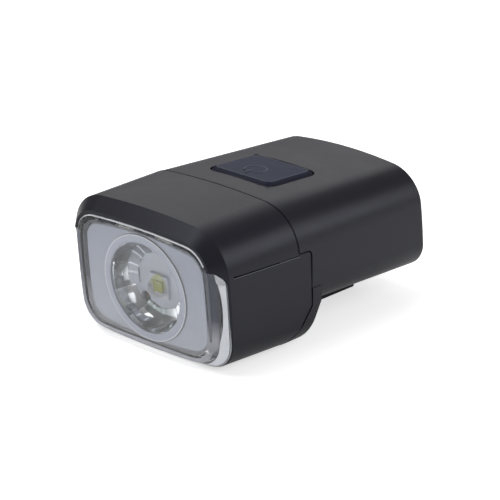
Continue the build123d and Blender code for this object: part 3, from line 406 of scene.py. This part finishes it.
def polar_group():
    """Radius in millimetres and angle in radians round the beam's axis."""
    group, start, end = new_group(
        "Round the beam", [("Position", "NodeSocketVector", None)],
        [("Radius", "NodeSocketFloat"), ("Angle", "NodeSocketFloat")])
    parts = add_node(group, "ShaderNodeSeparateXYZ", inputs={0: start.outputs["Position"]})
    height = math_node(group, "SUBTRACT", parts.outputs["Z"], AXIS_HEIGHT)
    rise = math_node(group, "DIVIDE", height, math.cos(FACE_LEAN))
    across = math_node(group, "MULTIPLY", parts.outputs["X"], parts.outputs["X"])
    radius = math_node(group, "SQRT", math_node(group, "MULTIPLY_ADD", rise, rise, across))
    angle = math_node(group, "ARCTAN2", rise, parts.outputs["X"])
    group.links.new(radius, end.inputs["Radius"])
    group.links.new(angle, end.inputs["Angle"])
    return group


# Materials
class Coat:
    """One material in the making. Every tint goes over the colours laid on before it."""

    def __init__(self, groups, name, color, roughness, grain, metallic=0.0, specular=0.5):
        self.groups = groups
        self.roughness = roughness
        self.material = bpy.data.materials.new(name)
        self.material.use_nodes = True
        self.tree = self.material.node_tree
        self.tree.nodes.clear()
        output = add_node(self.tree, "ShaderNodeOutputMaterial")
        self.shader = add_node(self.tree, "ShaderNodeBsdfPrincipled", inputs={
            "Metallic": metallic, "Specular IOR Level": specular})
        self.tree.links.new(self.shader.outputs[0], output.inputs["Surface"])
        self.place = self.use("place").outputs
        scale, height, spread = grain
        grained = self.use("grain", Position=self.place["Position"], Scale=scale,
                           Height=height * MM, Spread=spread).outputs
        self.tree.links.new(grained["Normal"], self.shader.inputs["Normal"])
        self.tree.links.new(math_node(self.tree, "ADD", grained["Roughness offset"], roughness),
                            self.shader.inputs["Roughness"])
        darker = tuple(part * (1 - MOTTLE) for part in color)
        lighter = tuple(min(1.0, part * (1 + MOTTLE)) for part in color)
        self.lay(self.mix(grained["Mottle"], darker + (1.0,), lighter + (1.0,)))

    def use(self, group, **inputs):
        """A copy of a shared group in this material."""
        return add_node(self.tree, "ShaderNodeGroup", node_tree=self.groups[group], inputs=inputs)

    def mix(self, mask, under, over):
        """The mix of two colours by a mask."""
        node = add_node(self.tree, "ShaderNodeMix", data_type="RGBA",
                        inputs={"Factor": mask, 6: under, 7: over})
        return node.outputs[2]

    def lay(self, color):
        """Makes this colour output the one that the shader shows."""
        self.color = color
        self.tree.links.new(color, self.shader.inputs["Base Color"])

    def tint(self, mask, color):
        """Lays a colour over the ones before it by a mask."""
        self.lay(self.mix(mask, self.color, tuple(color) + (1.0,)))

    def mask(self, value, edge, low=-NO_LIMIT, high=NO_LIMIT):
        """A soft mask over the surface: 1 where the value lies between low and high."""
        return self.use("window", Value=value, Low=low, High=high, Edge=edge).outputs["Mask"]

    def round_beam(self):
        """The outputs Radius and Angle round the beam's axis."""
        return self.use("polar", Position=self.place["Position"]).outputs

    def petal_turn(self):
        """How far round its petal a point is, from 0 at one crease to 1 at the next."""
        turns = math_node(self.tree, "MULTIPLY_ADD", self.round_beam()["Angle"],
                          PETALS / (2 * math.pi), PETALS + 0.5)
        return math_node(self.tree, "FRACT", turns)

    def make_clear(self, ior):
        """Makes the material clear, with one plain colour and roughness."""
        for label, value in (("Base Color", WHITE), ("Roughness", self.roughness)):
            socket = self.shader.inputs[label]
            self.tree.links.remove(socket.links[0])
            socket.default_value = value
        self.shader.inputs["Transmission Weight"].default_value = 1.0
        self.shader.inputs["IOR"].default_value = ior


class Finish:
    """Holds the shared node groups, and the materials by their names."""

    def __init__(self):
        self.groups = {"place": place_group(), "grain": grain_group(),
                       "window": window_group(), "polar": polar_group()}
        self.made = {}

    def coat(self, name, **values):
        """Starts a material and keeps it under its name."""
        coat = Coat(self.groups, name, **values)
        self.made[name] = coat.material
        return coat


def coat_housing(finish):
    """Black moulded plastic, with painted light on the lens's seat where it shows through the lens, and painted shade
    over it further up the front.
    """
    coat = finish.coat("housing", color=(0.013, 0.013, 0.018), roughness=0.36,
                       grain=(9.0, 0.006, 0.08), specular=0.25)
    coat.shader.inputs["Specular Tint"].default_value = (0.86, 0.87, 1.0, 1.0)
    # Painted light: the seat behind the lens is made pale where it faces ahead
    seat = coat.mask(coat.place["Depth"], low=SEAT_DEPTH - 0.15, high=SEAT_DEPTH + 0.2, edge=0.02)
    geometry = add_node(coat.tree, "ShaderNodeNewGeometry")
    facing = add_node(coat.tree, "ShaderNodeSeparateXYZ", inputs={0: geometry.outputs["Normal"]})
    ahead = math_node(coat.tree, "LESS_THAN", facing.outputs["Y"], FACING_AHEAD)
    pale = math_node(coat.tree, "MULTIPLY", seat, ahead)
    coat.tint(pale, (0.5, 0.505, 0.55))
    # Painted shade: the pale seat darkens further up
    upper = coat.mask(coat.place["Z"], low=FADE_START, edge=FADE_LENGTH)
    coat.tint(math_node(coat.tree, "MULTIPLY", pale, upper), PAINTED_SHADE_COLOR)


def coat_lens(finish):
    """The clear lens, and what stands in for light through it: its frosted edges, partly real frost and partly painted
    light, a sheet of painted glow in the lower rim, and the shelf and gasket behind it, pale with painted light and
    dark with painted shade further up.
    """
    coat = finish.coat("clear", color=(0.97, 0.98, 1.0), roughness=0.02, grain=(0.5, 0.0005, 0.0))
    coat.make_clear(ior=1.45)

    # Painted glow inside the lower rim, with painted shade above its foot
    coat = finish.coat("haze", color=(0.55, 0.56, 0.62), roughness=0.4, grain=(5.0, 0.003, 0.06))
    coat.tint(coat.mask(coat.place["Z"], low=3.0, edge=12.0), (0.16, 0.165, 0.21))

    # The frosted side wall, partly real frost and partly painted light guided through the lens, with a painted
    # highlight at its foot
    coat = finish.coat("frosted", color=(0.88, 0.9, 0.98), roughness=0.35,
                       grain=(8.0, 0.003, 0.08))
    coat.tint(coat.mask(coat.place["Z"], high=1.6, edge=0.8), (0.95, 0.95, 0.97))

    # Painted light on the shelf behind the lens, pale low down, with painted shade further up
    coat = finish.coat("shelf", color=(0.43, 0.435, 0.48), roughness=0.5,
                       grain=(6.0, 0.004, 0.08), specular=0.05)
    coat.tint(coat.mask(coat.place["Z"], low=FADE_START, edge=FADE_LENGTH), (0.012, 0.026, 0.062))

    # Painted light on the gasket where it shows through the lens, with painted shade further up
    coat = finish.coat("pale_seal", color=(0.5, 0.505, 0.55), roughness=0.5,
                       grain=(10.0, 0.006, 0.08))
    coat.tint(coat.mask(coat.place["Z"], low=FADE_START, edge=FADE_LENGTH), PAINTED_SHADE_COLOR)


def coat_bezel(finish):
    """Silver paint, paler towards its foot and on the collar's face, with a painted highlight and a painted shade line
    round the collar's step.
    """
    coat = finish.coat("bezel", color=(0.31, 0.345, 0.435), roughness=0.38, metallic=0.3,
                       grain=(11.0, 0.004, 0.06))
    coat.tint(coat.mask(coat.place["Z"], high=22.0, edge=17.0), (0.4, 0.43, 0.505))
    radius = coat.round_beam()["Radius"]
    # Paler on the collar's face, and round its step a line of painted shade and a line of painted highlight
    for low, high, edge, color in (
            (CUP_RADIUS, COLLAR_RADIUS, 0.5, (0.4, 0.435, 0.53)),
            (COLLAR_RADIUS - 0.1, COLLAR_RADIUS + 0.16, 0.06, (0.2, 0.21, 0.25)),
            (COLLAR_RADIUS - 0.3, COLLAR_RADIUS - 0.06, 0.06, (0.75, 0.77, 0.82))):
        coat.tint(coat.mask(radius, low=low, high=high, edge=edge), color)


def coat_mirrors(finish):
    """The coated cup and the inner petals with painted reflections: each petal darker across most of its width, a
    painted highlight on its crease and painted shade further up.
    """
    coat = finish.coat("mirror_coat", color=(0.78, 0.8, 0.82), roughness=0.1, metallic=1.0,
                       grain=(0.35, 0.02, 0.03))
    # Painted reflections on the cup: darker across each petal, painted shade further up and a painted highlight on
    # each crease
    turn = coat.petal_turn()
    coat.tint(coat.mask(turn, low=0.1, edge=0.8), (0.3, 0.33, 0.36))
    coat.tint(coat.mask(coat.place["Z"], low=16.5, edge=4.0), (0.12, 0.135, 0.17))
    coat.tint(coat.mask(turn, high=0.12, edge=0.1), (0.97, 0.98, 1.0))

    # Painted reflections on the inner petals: painted shade over the top, a greener tint low down, a painted highlight
    # on the right side and on each crease, and a darker band across each petal
    coat = finish.coat("petal_mirror", color=(0.2, 0.21, 0.245), roughness=0.12, metallic=1.0,
                       grain=(0.35, 0.02, 0.03))
    coat.tint(coat.mask(coat.place["Z"], low=17.2, edge=3.0), (0.07, 0.08, 0.1))
    coat.tint(coat.mask(coat.place["Z"], high=12.5, edge=2.5), (0.2, 0.235, 0.235))
    coat.tint(coat.mask(coat.place["X"], low=2.0, edge=2.5), (0.85, 0.87, 0.9))
    turn = coat.petal_turn()
    coat.tint(coat.mask(turn, high=0.1, edge=0.08), (0.42, 0.45, 0.5))
    coat.tint(coat.mask(turn, low=0.34, high=0.5, edge=0.06), (0.3, 0.33, 0.37))


def coat_emitter(finish):
    """The ceramic base, which the phosphor colours near the axis, and the clear dome over it."""
    coat = finish.coat("ceramic", color=(0.6, 0.63, 0.71), roughness=0.3, grain=(5.0, 0.004, 0.05))
    coat.tint(coat.mask(coat.round_beam()["Radius"], high=2.1, edge=0.3), (0.66, 0.7, 0.34))

    coat = finish.coat("dome", color=(1.0, 1.0, 0.97), roughness=0.01, grain=(0.5, 0.0005, 0.0))
    coat.make_clear(ior=1.15)


def coat_circuit(finish):
    """The circuit board, with faint copper tracks under its mask."""
    coat = finish.coat("circuit_board", color=(0.008, 0.09, 0.03), roughness=0.3,
                       grain=(3.0, 0.01, 0.1))
    tracks = add_node(coat.tree, "ShaderNodeTexBrick", inputs={
        "Vector": coat.place["Position"], "Scale": 0.6, "Mortar Size": 0.03,
        "Color1": BLACK, "Color2": BLACK, "Mortar": WHITE})
    coat.tint(tracks.outputs["Fac"], (0.02, 0.16, 0.05))


def paint(finish):
    """Makes the materials and puts one on every CAD node."""
    for make in (coat_housing, coat_lens, coat_bezel, coat_mirrors, coat_emitter, coat_circuit):
        make(finish)
    for name, values in PLAIN_FINISHES.items():
        finish.coat(name, **values)
    labels = {entry["node"]: entry["material_slot"] for entry in frame["record"]["subparts"]}
    labels.update(OWN_FINISH)
    for name, node in frame["nodes"].items():
        node.data.materials.clear()
        node.data.materials.append(finish.made[labels[name]])


# Meshes
def slant_point(x, height, depth):
    """A point in metres: across, its height, and its depth behind the foot of the front plane."""
    back = depth - FOOT_CENTRE - height * math.tan(FACE_LEAN)
    return Vector((x * MM, back * MM, height * MM))


def section_of(node, depth):
    """The cut of a CAD piece at this depth, as pairs of (across, height) ends in millimetres."""
    cut = bmesh.new()
    cut.from_mesh(frame["nodes"][node].data)
    normal = Vector((0, math.cos(FACE_LEAN), math.sin(FACE_LEAN)))
    found = bmesh.ops.bisect_plane(cut, geom=cut.verts[:] + cut.edges[:] + cut.faces[:],
                                   plane_co=slant_point(0, 0, depth), plane_no=normal)
    edges = [e for e in found["geom_cut"] if isinstance(e, bmesh.types.BMEdge)]
    ends = [tuple((v.co.x / MM, v.co.z / MM) for v in e.verts) for e in edges]
    cut.free()
    return ends


def outline(node, depth, angles, outer=True, grow=0.0):
    """Points of that cut in these directions, outermost or innermost, moved out by grow."""
    ends = section_of(node, depth)
    points = []
    for angle in angles:
        dx, dz = math.cos(angle), math.sin(angle)
        reach = []
        for (x1, z1), (x2, z2) in ends:
            z1, z2 = z1 - SECTION_MIDDLE, z2 - SECTION_MIDDLE
            ex, ez = x2 - x1, z2 - z1
            turn = dx * ez - dz * ex
            if abs(turn) < PARALLEL:
                continue
            along = (x1 * ez - z1 * ex) / turn
            share = (x1 * dz - z1 * dx) / turn
            if along > 0 and -END_SLACK <= share <= 1 + END_SLACK:
                reach.append(along)
        far = (max(reach) if outer else min(reach)) + grow
        points.append(slant_point(dx * far, SECTION_MIDDLE + dz * far, depth))
    return points


def arc(first, end, step):
    """Angles in radians from a range in degrees."""
    return [math.radians(angle) for angle in range(first, end, step)]


def add_skin(name, rows, label, body, closed=False):
    """A smooth piece from rows of points joined row to row, in a made finish, on a CAD body.

    The material is looked up by name, so its name is one that no slot of the record has.
    """
    mesh = bpy.data.meshes.new(name)
    grid = bmesh.new()
    lines = [[grid.verts.new(point) for point in row] for row in rows]
    count = len(lines[0])
    for one, two in zip(lines, lines[1:]):
        for i in range(count if closed else count - 1):
            j = (i + 1) % count
            grid.faces.new((one[i], one[j], two[j], two[i]))
    bmesh.ops.recalc_face_normals(grid, faces=grid.faces)
    grid.to_mesh(mesh)
    grid.free()
    for face in mesh.polygons:
        face.use_smooth = True
    piece = bpy.data.objects.new(name, mesh)
    bpy.context.scene.collection.objects.link(piece)
    piece.data.materials.append(bpy.data.materials[label])
    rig.ride(piece, body)


def touch(node, start, direction):
    """Where a ray first meets a CAD piece, and the surface's normal there."""
    found, spot, normal, _ = frame["nodes"][node].ray_cast(Vector(start), Vector(direction))
    if not found:
        raise RuntimeError("a line misses " + node)
    return spot, normal


# Pieces
def on_flank(side, y, height, lift):
    """The point in metres where the front housing's flank is at this place, moved out by lift."""
    spot, normal = touch("front_housing", (side * OUTSIDE, y * MM, height * MM), (-side, 0, 0))
    return spot + normal * lift


def build_seam_lines(shape):
    """Painted shade along the gap between the halves and along the groove on each cheek, with a painted highlight
    under each groove.
    """
    lift = -shape.trim_lift * PROUD_SHARE
    angles = arc(*SEAM_ARC)
    half = shape.seam_line / MM / 2
    over = [clamp((math.sin(angle) - SEAM_WIDE_FROM) * SEAM_WIDE_RATE) for angle in angles]
    rows = []
    for node, step in SEAM_ROWS:
        narrow, wide = (outline(node, SEAM_DEPTH + step * width, angles, grow=lift / MM)
                        for width in (half, half * shape.seam_spread))
        rows.append([one.lerp(other, share) for one, other, share in zip(narrow, wide, over)])
    # Painted shade along the seam's gap
    add_skin("seam_gap", rows, "gap", "lamp")

    length = GROOVE_REAR - GROOVE_FRONT
    places = [GROOVE_FRONT + length * i / GROOVE_POINTS for i in range(GROOVE_POINTS + 1)]
    for side, end in ((-1, "_left"), (1, "_right")):
        # Each groove gets a line of painted shade and a painted highlight under it
        for name, label, high, low in GROOVE_LINES:
            rows = [[on_flank(side, y, GROOVE_TOP - GROOVE_FALL * (y - GROOVE_FRONT) - drop, lift)
                     for y in places] for drop in (high, (high + low) / 2, low)]
            add_skin(name + end, rows, label, "lamp")


def build_petals(shape):
    """The low inner petals on the board, with the place of the board's slot left open."""
    width = 2 * math.pi / PETALS
    for k in range(PETALS):
        if k == OPEN_PETAL:
            continue
        start = width * (k + 0.5)
        rows = []
        for i in range(PETAL_ROWS + 1):
            out = i / PETAL_ROWS
            row = []
            for j in range(PETAL_COLUMNS + 1):
                share = j / PETAL_COLUMNS
                bow = 1 - (2 * share - 1) ** 2
                inner = shape.petal_inner / MM + PETAL_CORNER * (1 - bow)
                radius = inner + (PETAL_OUTER - inner) * out
                rise = PETAL_RISE * out ** PETAL_CURVE - PETAL_BOW * bow * out * (1 - out)
                angle = start + width * share
                row.append(slant_point(radius * math.cos(angle),
                                       PETAL_CENTRE + radius * math.sin(angle),
                                       BOARD_DEPTH - PETAL_FOOT - rise))
            rows.append(row)
        add_skin("inner_petal_%02d" % (k + 1), rows, "petal_mirror", "lamp")


def build_lens_trim(shape):
    """The lens's frosted edge, partly real frost and partly painted light, a painted highlight along its top, a sheet
    of painted glow in its rim, and the shelf of painted light and shade between bezel and lens.
    """
    lift = shape.trim_lift / MM
    front, rear = (outline("front_lens", depth, arc(*FROST_ARC), grow=lift)
                   for depth in (FROST_FRONT, FROST_REAR))
    rows = []
    for share in FROST_SHARES:
        row = []
        for one, two in zip(front, rear):
            rise = clamp((one.z / MM - WINDOW_FOOT) / (WINDOW_TOP - WINDOW_FOOT))
            cut = shape.window_cut * math.sin(math.pi * rise) ** WINDOW_POWER
            row.append(one.lerp(two, share + (1 - share) * cut))
        rows.append(row)
    add_skin("frosted_edge", rows, "frosted", "lamp")

    # A painted highlight along the lens's top edge
    rows = [outline("front_lens", depth, arc(*HIGHLIGHT_ARC), grow=-lift) for depth in HIGHLIGHT_DEPTHS]
    add_skin("bright_edge", rows, "bright_edge", "lamp")

    # A sheet of painted glow inside the lower rim
    rows = [outline("front_lens", RIM_GLOW_DEPTH, arc(*RIM_GLOW_ARC), grow=gap) for gap in RIM_GLOW_GAPS]
    add_skin("rim_haze", rows, "haze", "lamp")

    # A shelf of painted light and shade behind the lens
    angles = arc(*SHELF_ARC)
    inner = outline("bezel_plate", SHELF_INNER_DEPTH, angles, grow=SHELF_INNER_GAP)
    outer = outline("front_lens", SHELF_OUTER_DEPTH, angles, outer=False, grow=SHELF_OUTER_GAP)
    middle = [(one + other) / 2 for one, other in zip(inner, outer)]
    add_skin("lens_shelf", [inner, middle, outer], "shelf", "lamp", closed=True)


def pad_point(x, y, rise):
    """A point over the button: across and back from its middle, and its rise over its edge."""
    spot, _ = touch("button_cap", (x * MM, (BUTTON_Y + y) * MM, OUTSIDE), (0, 0, -1))
    dished = (abs(x) < BUTTON_WIDTH / 2 - BUTTON_EDGE
              and abs(y) < BUTTON_LENGTH / 2 - BUTTON_EDGE)
    return spot + Vector((0, 0, (rise + (BUTTON_SINK if dished else 0.0)) * MM))


def rounded_loop(inset):
    """Places round the button's rounded rectangle, drawn in by inset."""
    width, length = BUTTON_WIDTH - 2 * inset, BUTTON_LENGTH - 2 * inset
    corner = BUTTON_CORNER - inset
    places = []
    for quarter, (sx, sy) in enumerate(((1, 1), (-1, 1), (-1, -1), (1, -1))):
        for i in range(CORNER_STEPS + 1):
            angle = math.pi / 2 * (quarter + i / CORNER_STEPS)
            places.append((sx * (width / 2 - corner) + corner * math.cos(angle),
                           sy * (length / 2 - corner) + corner * math.sin(angle)))
    return places


def build_thumb_pad(shape):
    """The raised rubber pad of the button: sloped sides, a soft lip and a nearly flat top."""

    def loop(across, up, scale=1.0):
        """A loop at a share of the slope and of the rise, drawn in to its middle by scale."""
        places = rounded_loop(PAD_INSET + shape.pad_slope / MM * across)
        return [pad_point(x * scale, y * scale, shape.pad_rise / MM * up) for x, y in places]

    side = [loop(across, up) for across, up in PAD_SIDE]
    lip = [loop(across, up) for across, up in PAD_LIP]
    top = [loop(*PAD_LIP[-1], scale) for scale in PAD_TOP_SCALES]
    # One rubber shown as lit and shaded copies: a lit top, a shaded side and a lip of painted highlight
    for name, rows, label in (("pad_side", side, "button_side"), ("pad_lip", lip, "button_lip"),
                              ("pad_top", top, "button_top")):
        add_skin(name, rows, label, "button", closed=True)


def build_symbol(shape):
    """The raised power symbol on the pad: an open ring with a bar in its gap."""
    radius = shape.symbol_radius / MM
    half = shape.symbol_line / MM / 2
    height = shape.symbol_height / MM
    top = shape.pad_rise / MM
    shift = shape.symbol_shift / MM

    def ridge(path):
        """Rows of a low rounded ridge along places, each with its direction across the line."""
        rows = []
        for (x, y), (dx, dy) in path:
            row = []
            for k in range(RIDGE_STEPS + 1):
                turn = math.pi * k / RIDGE_STEPS
                across = half * math.cos(turn)
                row.append(pad_point(x + across * dx, y - shift + across * dy,
                                     top + height * (math.sin(turn) - RIDGE_SINK)))
            rows.append(row)
        return rows

    sweep = 2 * math.pi - 2 * SYMBOL_GAP
    ring = []
    for i in range(SYMBOL_POINTS + 1):
        angle = -math.pi / 2 + SYMBOL_GAP + sweep * i / SYMBOL_POINTS
        across = (math.cos(angle), math.sin(angle))
        ring.append(((radius * across[0], radius * across[1]), across))
    bar = [((0, -radius * (BAR_START + BAR_LENGTH * i / BAR_POINTS)), (1, 0))
           for i in range(BAR_POINTS + 1)]
    # The symbol's ridge takes the painted highlight colour of the pad's lip
    add_skin("symbol_ring", ridge(ring), "button_lip", "button")
    add_skin("symbol_bar", ridge(bar), "button_lip", "button")


# Stage
def build_floor(stage):
    """The pale floor. Its glow shows to the camera and in reflections, and lights nothing."""
    material = bpy.data.materials.new("floor")
    material.use_nodes = True
    tree = material.node_tree
    tree.nodes.clear()
    output = add_node(tree, "ShaderNodeOutputMaterial")
    matte = add_node(tree, "ShaderNodeBsdfDiffuse",
                     inputs={"Color": tuple(stage.floor_color) + (1.0,)})
    path = add_node(tree, "ShaderNodeLightPath").outputs
    gloss = math_node(tree, "MULTIPLY", path["Is Glossy Ray"], FLOOR_IN_GLOSS)
    mirrored = math_node(tree, "MAXIMUM", gloss, path["Is Transmission Ray"])
    seen = math_node(tree, "MAXIMUM", path["Is Camera Ray"], mirrored)
    lift = add_node(tree, "ShaderNodeEmission", inputs={
        "Color": WHITE, "Strength": math_node(tree, "MULTIPLY", seen, stage.floor_lift)})
    both = add_node(tree, "ShaderNodeAddShader", inputs={0: matte.outputs[0], 1: lift.outputs[0]})
    tree.links.new(both.outputs[0], output.inputs["Surface"])

    mesh = bpy.data.meshes.new("floor")
    corners = [(x * FLOOR_HALF, y * FLOOR_HALF, 0) for x, y in ((-1, -1), (1, -1), (1, 1), (-1, 1))]
    mesh.from_pydata(corners, [], [(0, 1, 2, 3)])
    mesh.materials.append(material)
    floor = bpy.data.objects.new("floor", mesh)
    bpy.context.scene.collection.objects.link(floor)
    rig.stage(floor)


def build_world():
    """Soft light from all round, and a white backdrop for the camera."""
    world = bpy.data.worlds.new("studio")
    bpy.context.scene.world = world
    world.use_nodes = True
    tree = world.node_tree
    tree.nodes.clear()
    output = add_node(tree, "ShaderNodeOutputWorld")
    soft, white = (
        add_node(tree, "ShaderNodeBackground",
                 inputs={"Color": WHITE, "Strength": strength}).outputs[0]
        for strength in (SURROUND_LIGHT, 1.0))
    path = add_node(tree, "ShaderNodeLightPath")
    mix = add_node(tree, "ShaderNodeMixShader",
                   inputs={0: path.outputs["Is Camera Ray"], 1: soft, 2: white})
    tree.links.new(mix.outputs[0], output.inputs["Surface"])


def build_lamps(stage):
    """Square soft lights, each at the power that the stage gives it."""
    for name, place, aim, width in LAMPS:
        data = bpy.data.lights.new(name, "AREA")
        data.size = width
        data.energy = getattr(stage, name + "_power")
        light = bpy.data.objects.new(name, data)
        light.location = place
        towards = Vector((0, 0, aim)) - Vector(place)
        light.rotation_euler = towards.to_track_quat("-Z", "Y").to_euler()
        bpy.context.scene.collection.objects.link(light)
        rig.stage(light)


def build_camera(stage):
    """The camera that matches the photograph."""
    sin_a, cos_a = math.sin(CAMERA_AZIMUTH), math.cos(CAMERA_AZIMUTH)
    sin_e, cos_e = math.sin(CAMERA_ELEVATION), math.cos(CAMERA_ELEVATION)
    back = Vector((sin_a * cos_e, -cos_a * cos_e, sin_e))
    right = Vector((cos_a, sin_a, 0))
    up = Vector((-sin_e * sin_a, sin_e * cos_a, cos_e))
    place = (Vector(CAMERA_TARGET) + back * CAMERA_DISTANCE + right * CAMERA_RIGHT
             - up * CAMERA_DOWN)
    data = bpy.data.cameras.new("camera")
    data.lens = stage.lens
    data.sensor_width = SENSOR_WIDTH
    camera = bpy.data.objects.new("camera", data)
    camera.location = place * MM
    camera.rotation_euler = (-back).to_track_quat("-Z", "Y").to_euler()
    bpy.context.scene.collection.objects.link(camera)
    bpy.context.scene.camera = camera
    bpy.context.scene.view_settings.view_transform = "Standard"


# Settings
class HeadlightShape(bpy.types.PropertyGroup):
    """Sizes of the pieces that are added to the part."""

    pad_rise: FloatProperty(
        name="Pad rise", description="Height of the rubber pad over the button's edge",
        default=0.55 * MM, unit="LENGTH")
    pad_slope: FloatProperty(
        name="Pad slope", description="Width of the pad's sloped side, seen from above",
        default=1.05 * MM, unit="LENGTH")
    symbol_shift: FloatProperty(
        name="Symbol shift", description="How far the symbol sits ahead of the pad's middle",
        default=2.1 * MM, unit="LENGTH")
    symbol_radius: FloatProperty(
        name="Symbol radius", description="Radius of the raised power symbol on the button",
        default=2.5 * MM, unit="LENGTH")
    symbol_line: FloatProperty(
        name="Symbol line", description="Width of the raised line of the power symbol",
        default=0.45 * MM, unit="LENGTH")
    symbol_height: FloatProperty(
        name="Symbol height", description="Height of the raised line over the pad",
        default=0.12 * MM, unit="LENGTH")
    window_cut: FloatProperty(
        name="Window cut", description="How far the clear window cuts into the frosted edge",
        default=0.5, min=0.0, max=0.95, subtype="FACTOR")
    seam_line: FloatProperty(
        name="Seam line", description="Width of the dark gap between the two halves",
        default=0.46 * MM, unit="LENGTH")
    seam_spread: FloatProperty(
        name="Seam spread", description="How many times wider the gap is over the top",
        default=1.7)
    petal_inner: FloatProperty(
        name="Petal opening", description="Radius of the opening between the inner petals",
        default=6.2 * MM, unit="LENGTH")
    trim_lift: FloatProperty(
        name="Trim lift", description="Height of the lens trim over the lens, or under it below 0",
        default=-0.03 * MM, unit="LENGTH")


class HeadlightStage(bpy.types.PropertyGroup):
    """Floor, light and camera values."""

    floor_color: FloatVectorProperty(
        name="Floor", description="Colour of the floor", subtype="COLOR", size=3,
        default=(0.92, 0.92, 0.92))
    floor_lift: FloatProperty(
        name="Floor lift", description="How much the floor glows towards the camera",
        default=0.6)
    key_power: FloatProperty(
        name="Key", description="Power of the large soft key light", default=1.35, unit="POWER")
    fill_power: FloatProperty(
        name="Fill", description="Power of the soft fill light", default=0.35, unit="POWER")
    back_power: FloatProperty(
        name="Back", description="Power of the soft light behind the object", default=0.42,
        unit="POWER")
    side_power: FloatProperty(
        name="Side", description="Power of the low soft light at the far side", default=0.62,
        unit="POWER")
    lens: FloatProperty(
        name="Lens", description="Focal length of the camera", default=167.35, unit="CAMERA")


# Operators
class HEADLIGHT_OT_finish(bpy.types.Operator):
    """Make the materials and put one on every CAD piece of the headlight"""

    bl_idname = "headlight.finish"
    bl_label = "Finish the pieces"

    def execute(self, context):
        paint(Finish())
        return {"FINISHED"}


class HEADLIGHT_OT_lens_trim(bpy.types.Operator):
    """Add the lens's frosted edge, partly painted light, its painted highlight and painted glow, and the shelf of
    painted light and shade behind it
    """

    bl_idname = "headlight.lens_trim"
    bl_label = "Add the lens trim"

    def execute(self, context):
        build_lens_trim(context.scene.headlight_shape)
        return {"FINISHED"}


class HEADLIGHT_OT_seam_lines(bpy.types.Operator):
    """Add painted shade along the gap between the halves and the grooves of the cheeks, with painted highlights under
    the grooves
    """

    bl_idname = "headlight.seam_lines"
    bl_label = "Add the seam lines"

    def execute(self, context):
        build_seam_lines(context.scene.headlight_shape)
        return {"FINISHED"}


class HEADLIGHT_OT_petals(bpy.types.Operator):
    """Add the low inner petals of the reflector"""

    bl_idname = "headlight.petals"
    bl_label = "Add the inner petals"

    def execute(self, context):
        build_petals(context.scene.headlight_shape)
        return {"FINISHED"}


class HEADLIGHT_OT_thumb_pad(bpy.types.Operator):
    """Add the raised rubber pad to the button"""

    bl_idname = "headlight.thumb_pad"
    bl_label = "Add the thumb pad"

    def execute(self, context):
        build_thumb_pad(context.scene.headlight_shape)
        return {"FINISHED"}


class HEADLIGHT_OT_symbol(bpy.types.Operator):
    """Add the raised power symbol to the button"""

    bl_idname = "headlight.symbol"
    bl_label = "Add the button symbol"

    def execute(self, context):
        build_symbol(context.scene.headlight_shape)
        return {"FINISHED"}


class HEADLIGHT_OT_stage(bpy.types.Operator):
    """Add the floor, the lights and the camera"""

    bl_idname = "headlight.stage"
    bl_label = "Set the stage"

    def execute(self, context):
        stage = context.scene.headlight_stage
        build_floor(stage)
        build_world()
        build_lamps(stage)
        build_camera(stage)
        return {"FINISHED"}


OPERATORS = (HEADLIGHT_OT_finish, HEADLIGHT_OT_lens_trim, HEADLIGHT_OT_seam_lines,
             HEADLIGHT_OT_petals, HEADLIGHT_OT_thumb_pad, HEADLIGHT_OT_symbol, HEADLIGHT_OT_stage)


class HEADLIGHT_PT_panel(bpy.types.Panel):
    """Buttons that build the headlight's finish"""

    bl_label = "Headlight"
    bl_idname = "HEADLIGHT_PT_panel"
    bl_space_type = "VIEW_3D"
    bl_region_type = "UI"
    bl_category = "Headlight"

    def draw(self, context):
        for group in (context.scene.headlight_shape, context.scene.headlight_stage):
            for name in group.__annotations__:
                self.layout.prop(group, name)
        for operator in OPERATORS:
            self.layout.operator(operator.bl_idname)


CLASSES = (HeadlightShape, HeadlightStage, *OPERATORS, HEADLIGHT_PT_panel)


def register():
    """Adds the classes and the scene's settings."""
    for entry in CLASSES:
        bpy.utils.register_class(entry)
    bpy.types.Scene.headlight_shape = PointerProperty(type=HeadlightShape)
    bpy.types.Scene.headlight_stage = PointerProperty(type=HeadlightStage)


def unregister():
    """Takes the settings and the classes away again."""
    del bpy.types.Scene.headlight_stage
    del bpy.types.Scene.headlight_shape
    for entry in reversed(CLASSES):
        bpy.utils.unregister_class(entry)


def main():
    """Builds the finish and writes the size before and after."""
    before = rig.bounds()
    register()
    bpy.ops.headlight.finish()
    bpy.ops.headlight.lens_trim()
    bpy.ops.headlight.seam_lines()
    bpy.ops.headlight.petals()
    bpy.ops.headlight.thumb_pad()
    bpy.ops.headlight.symbol()
    bpy.ops.headlight.stage()
    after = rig.bounds()
    sizes = {"cad": [list(corner) for corner in before], "visual": [list(corner) for corner in after]}
    with open(os.path.join(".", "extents.json"), "w") as out:
        json.dump(sizes, out)


if __name__ == "__main__":
    main()
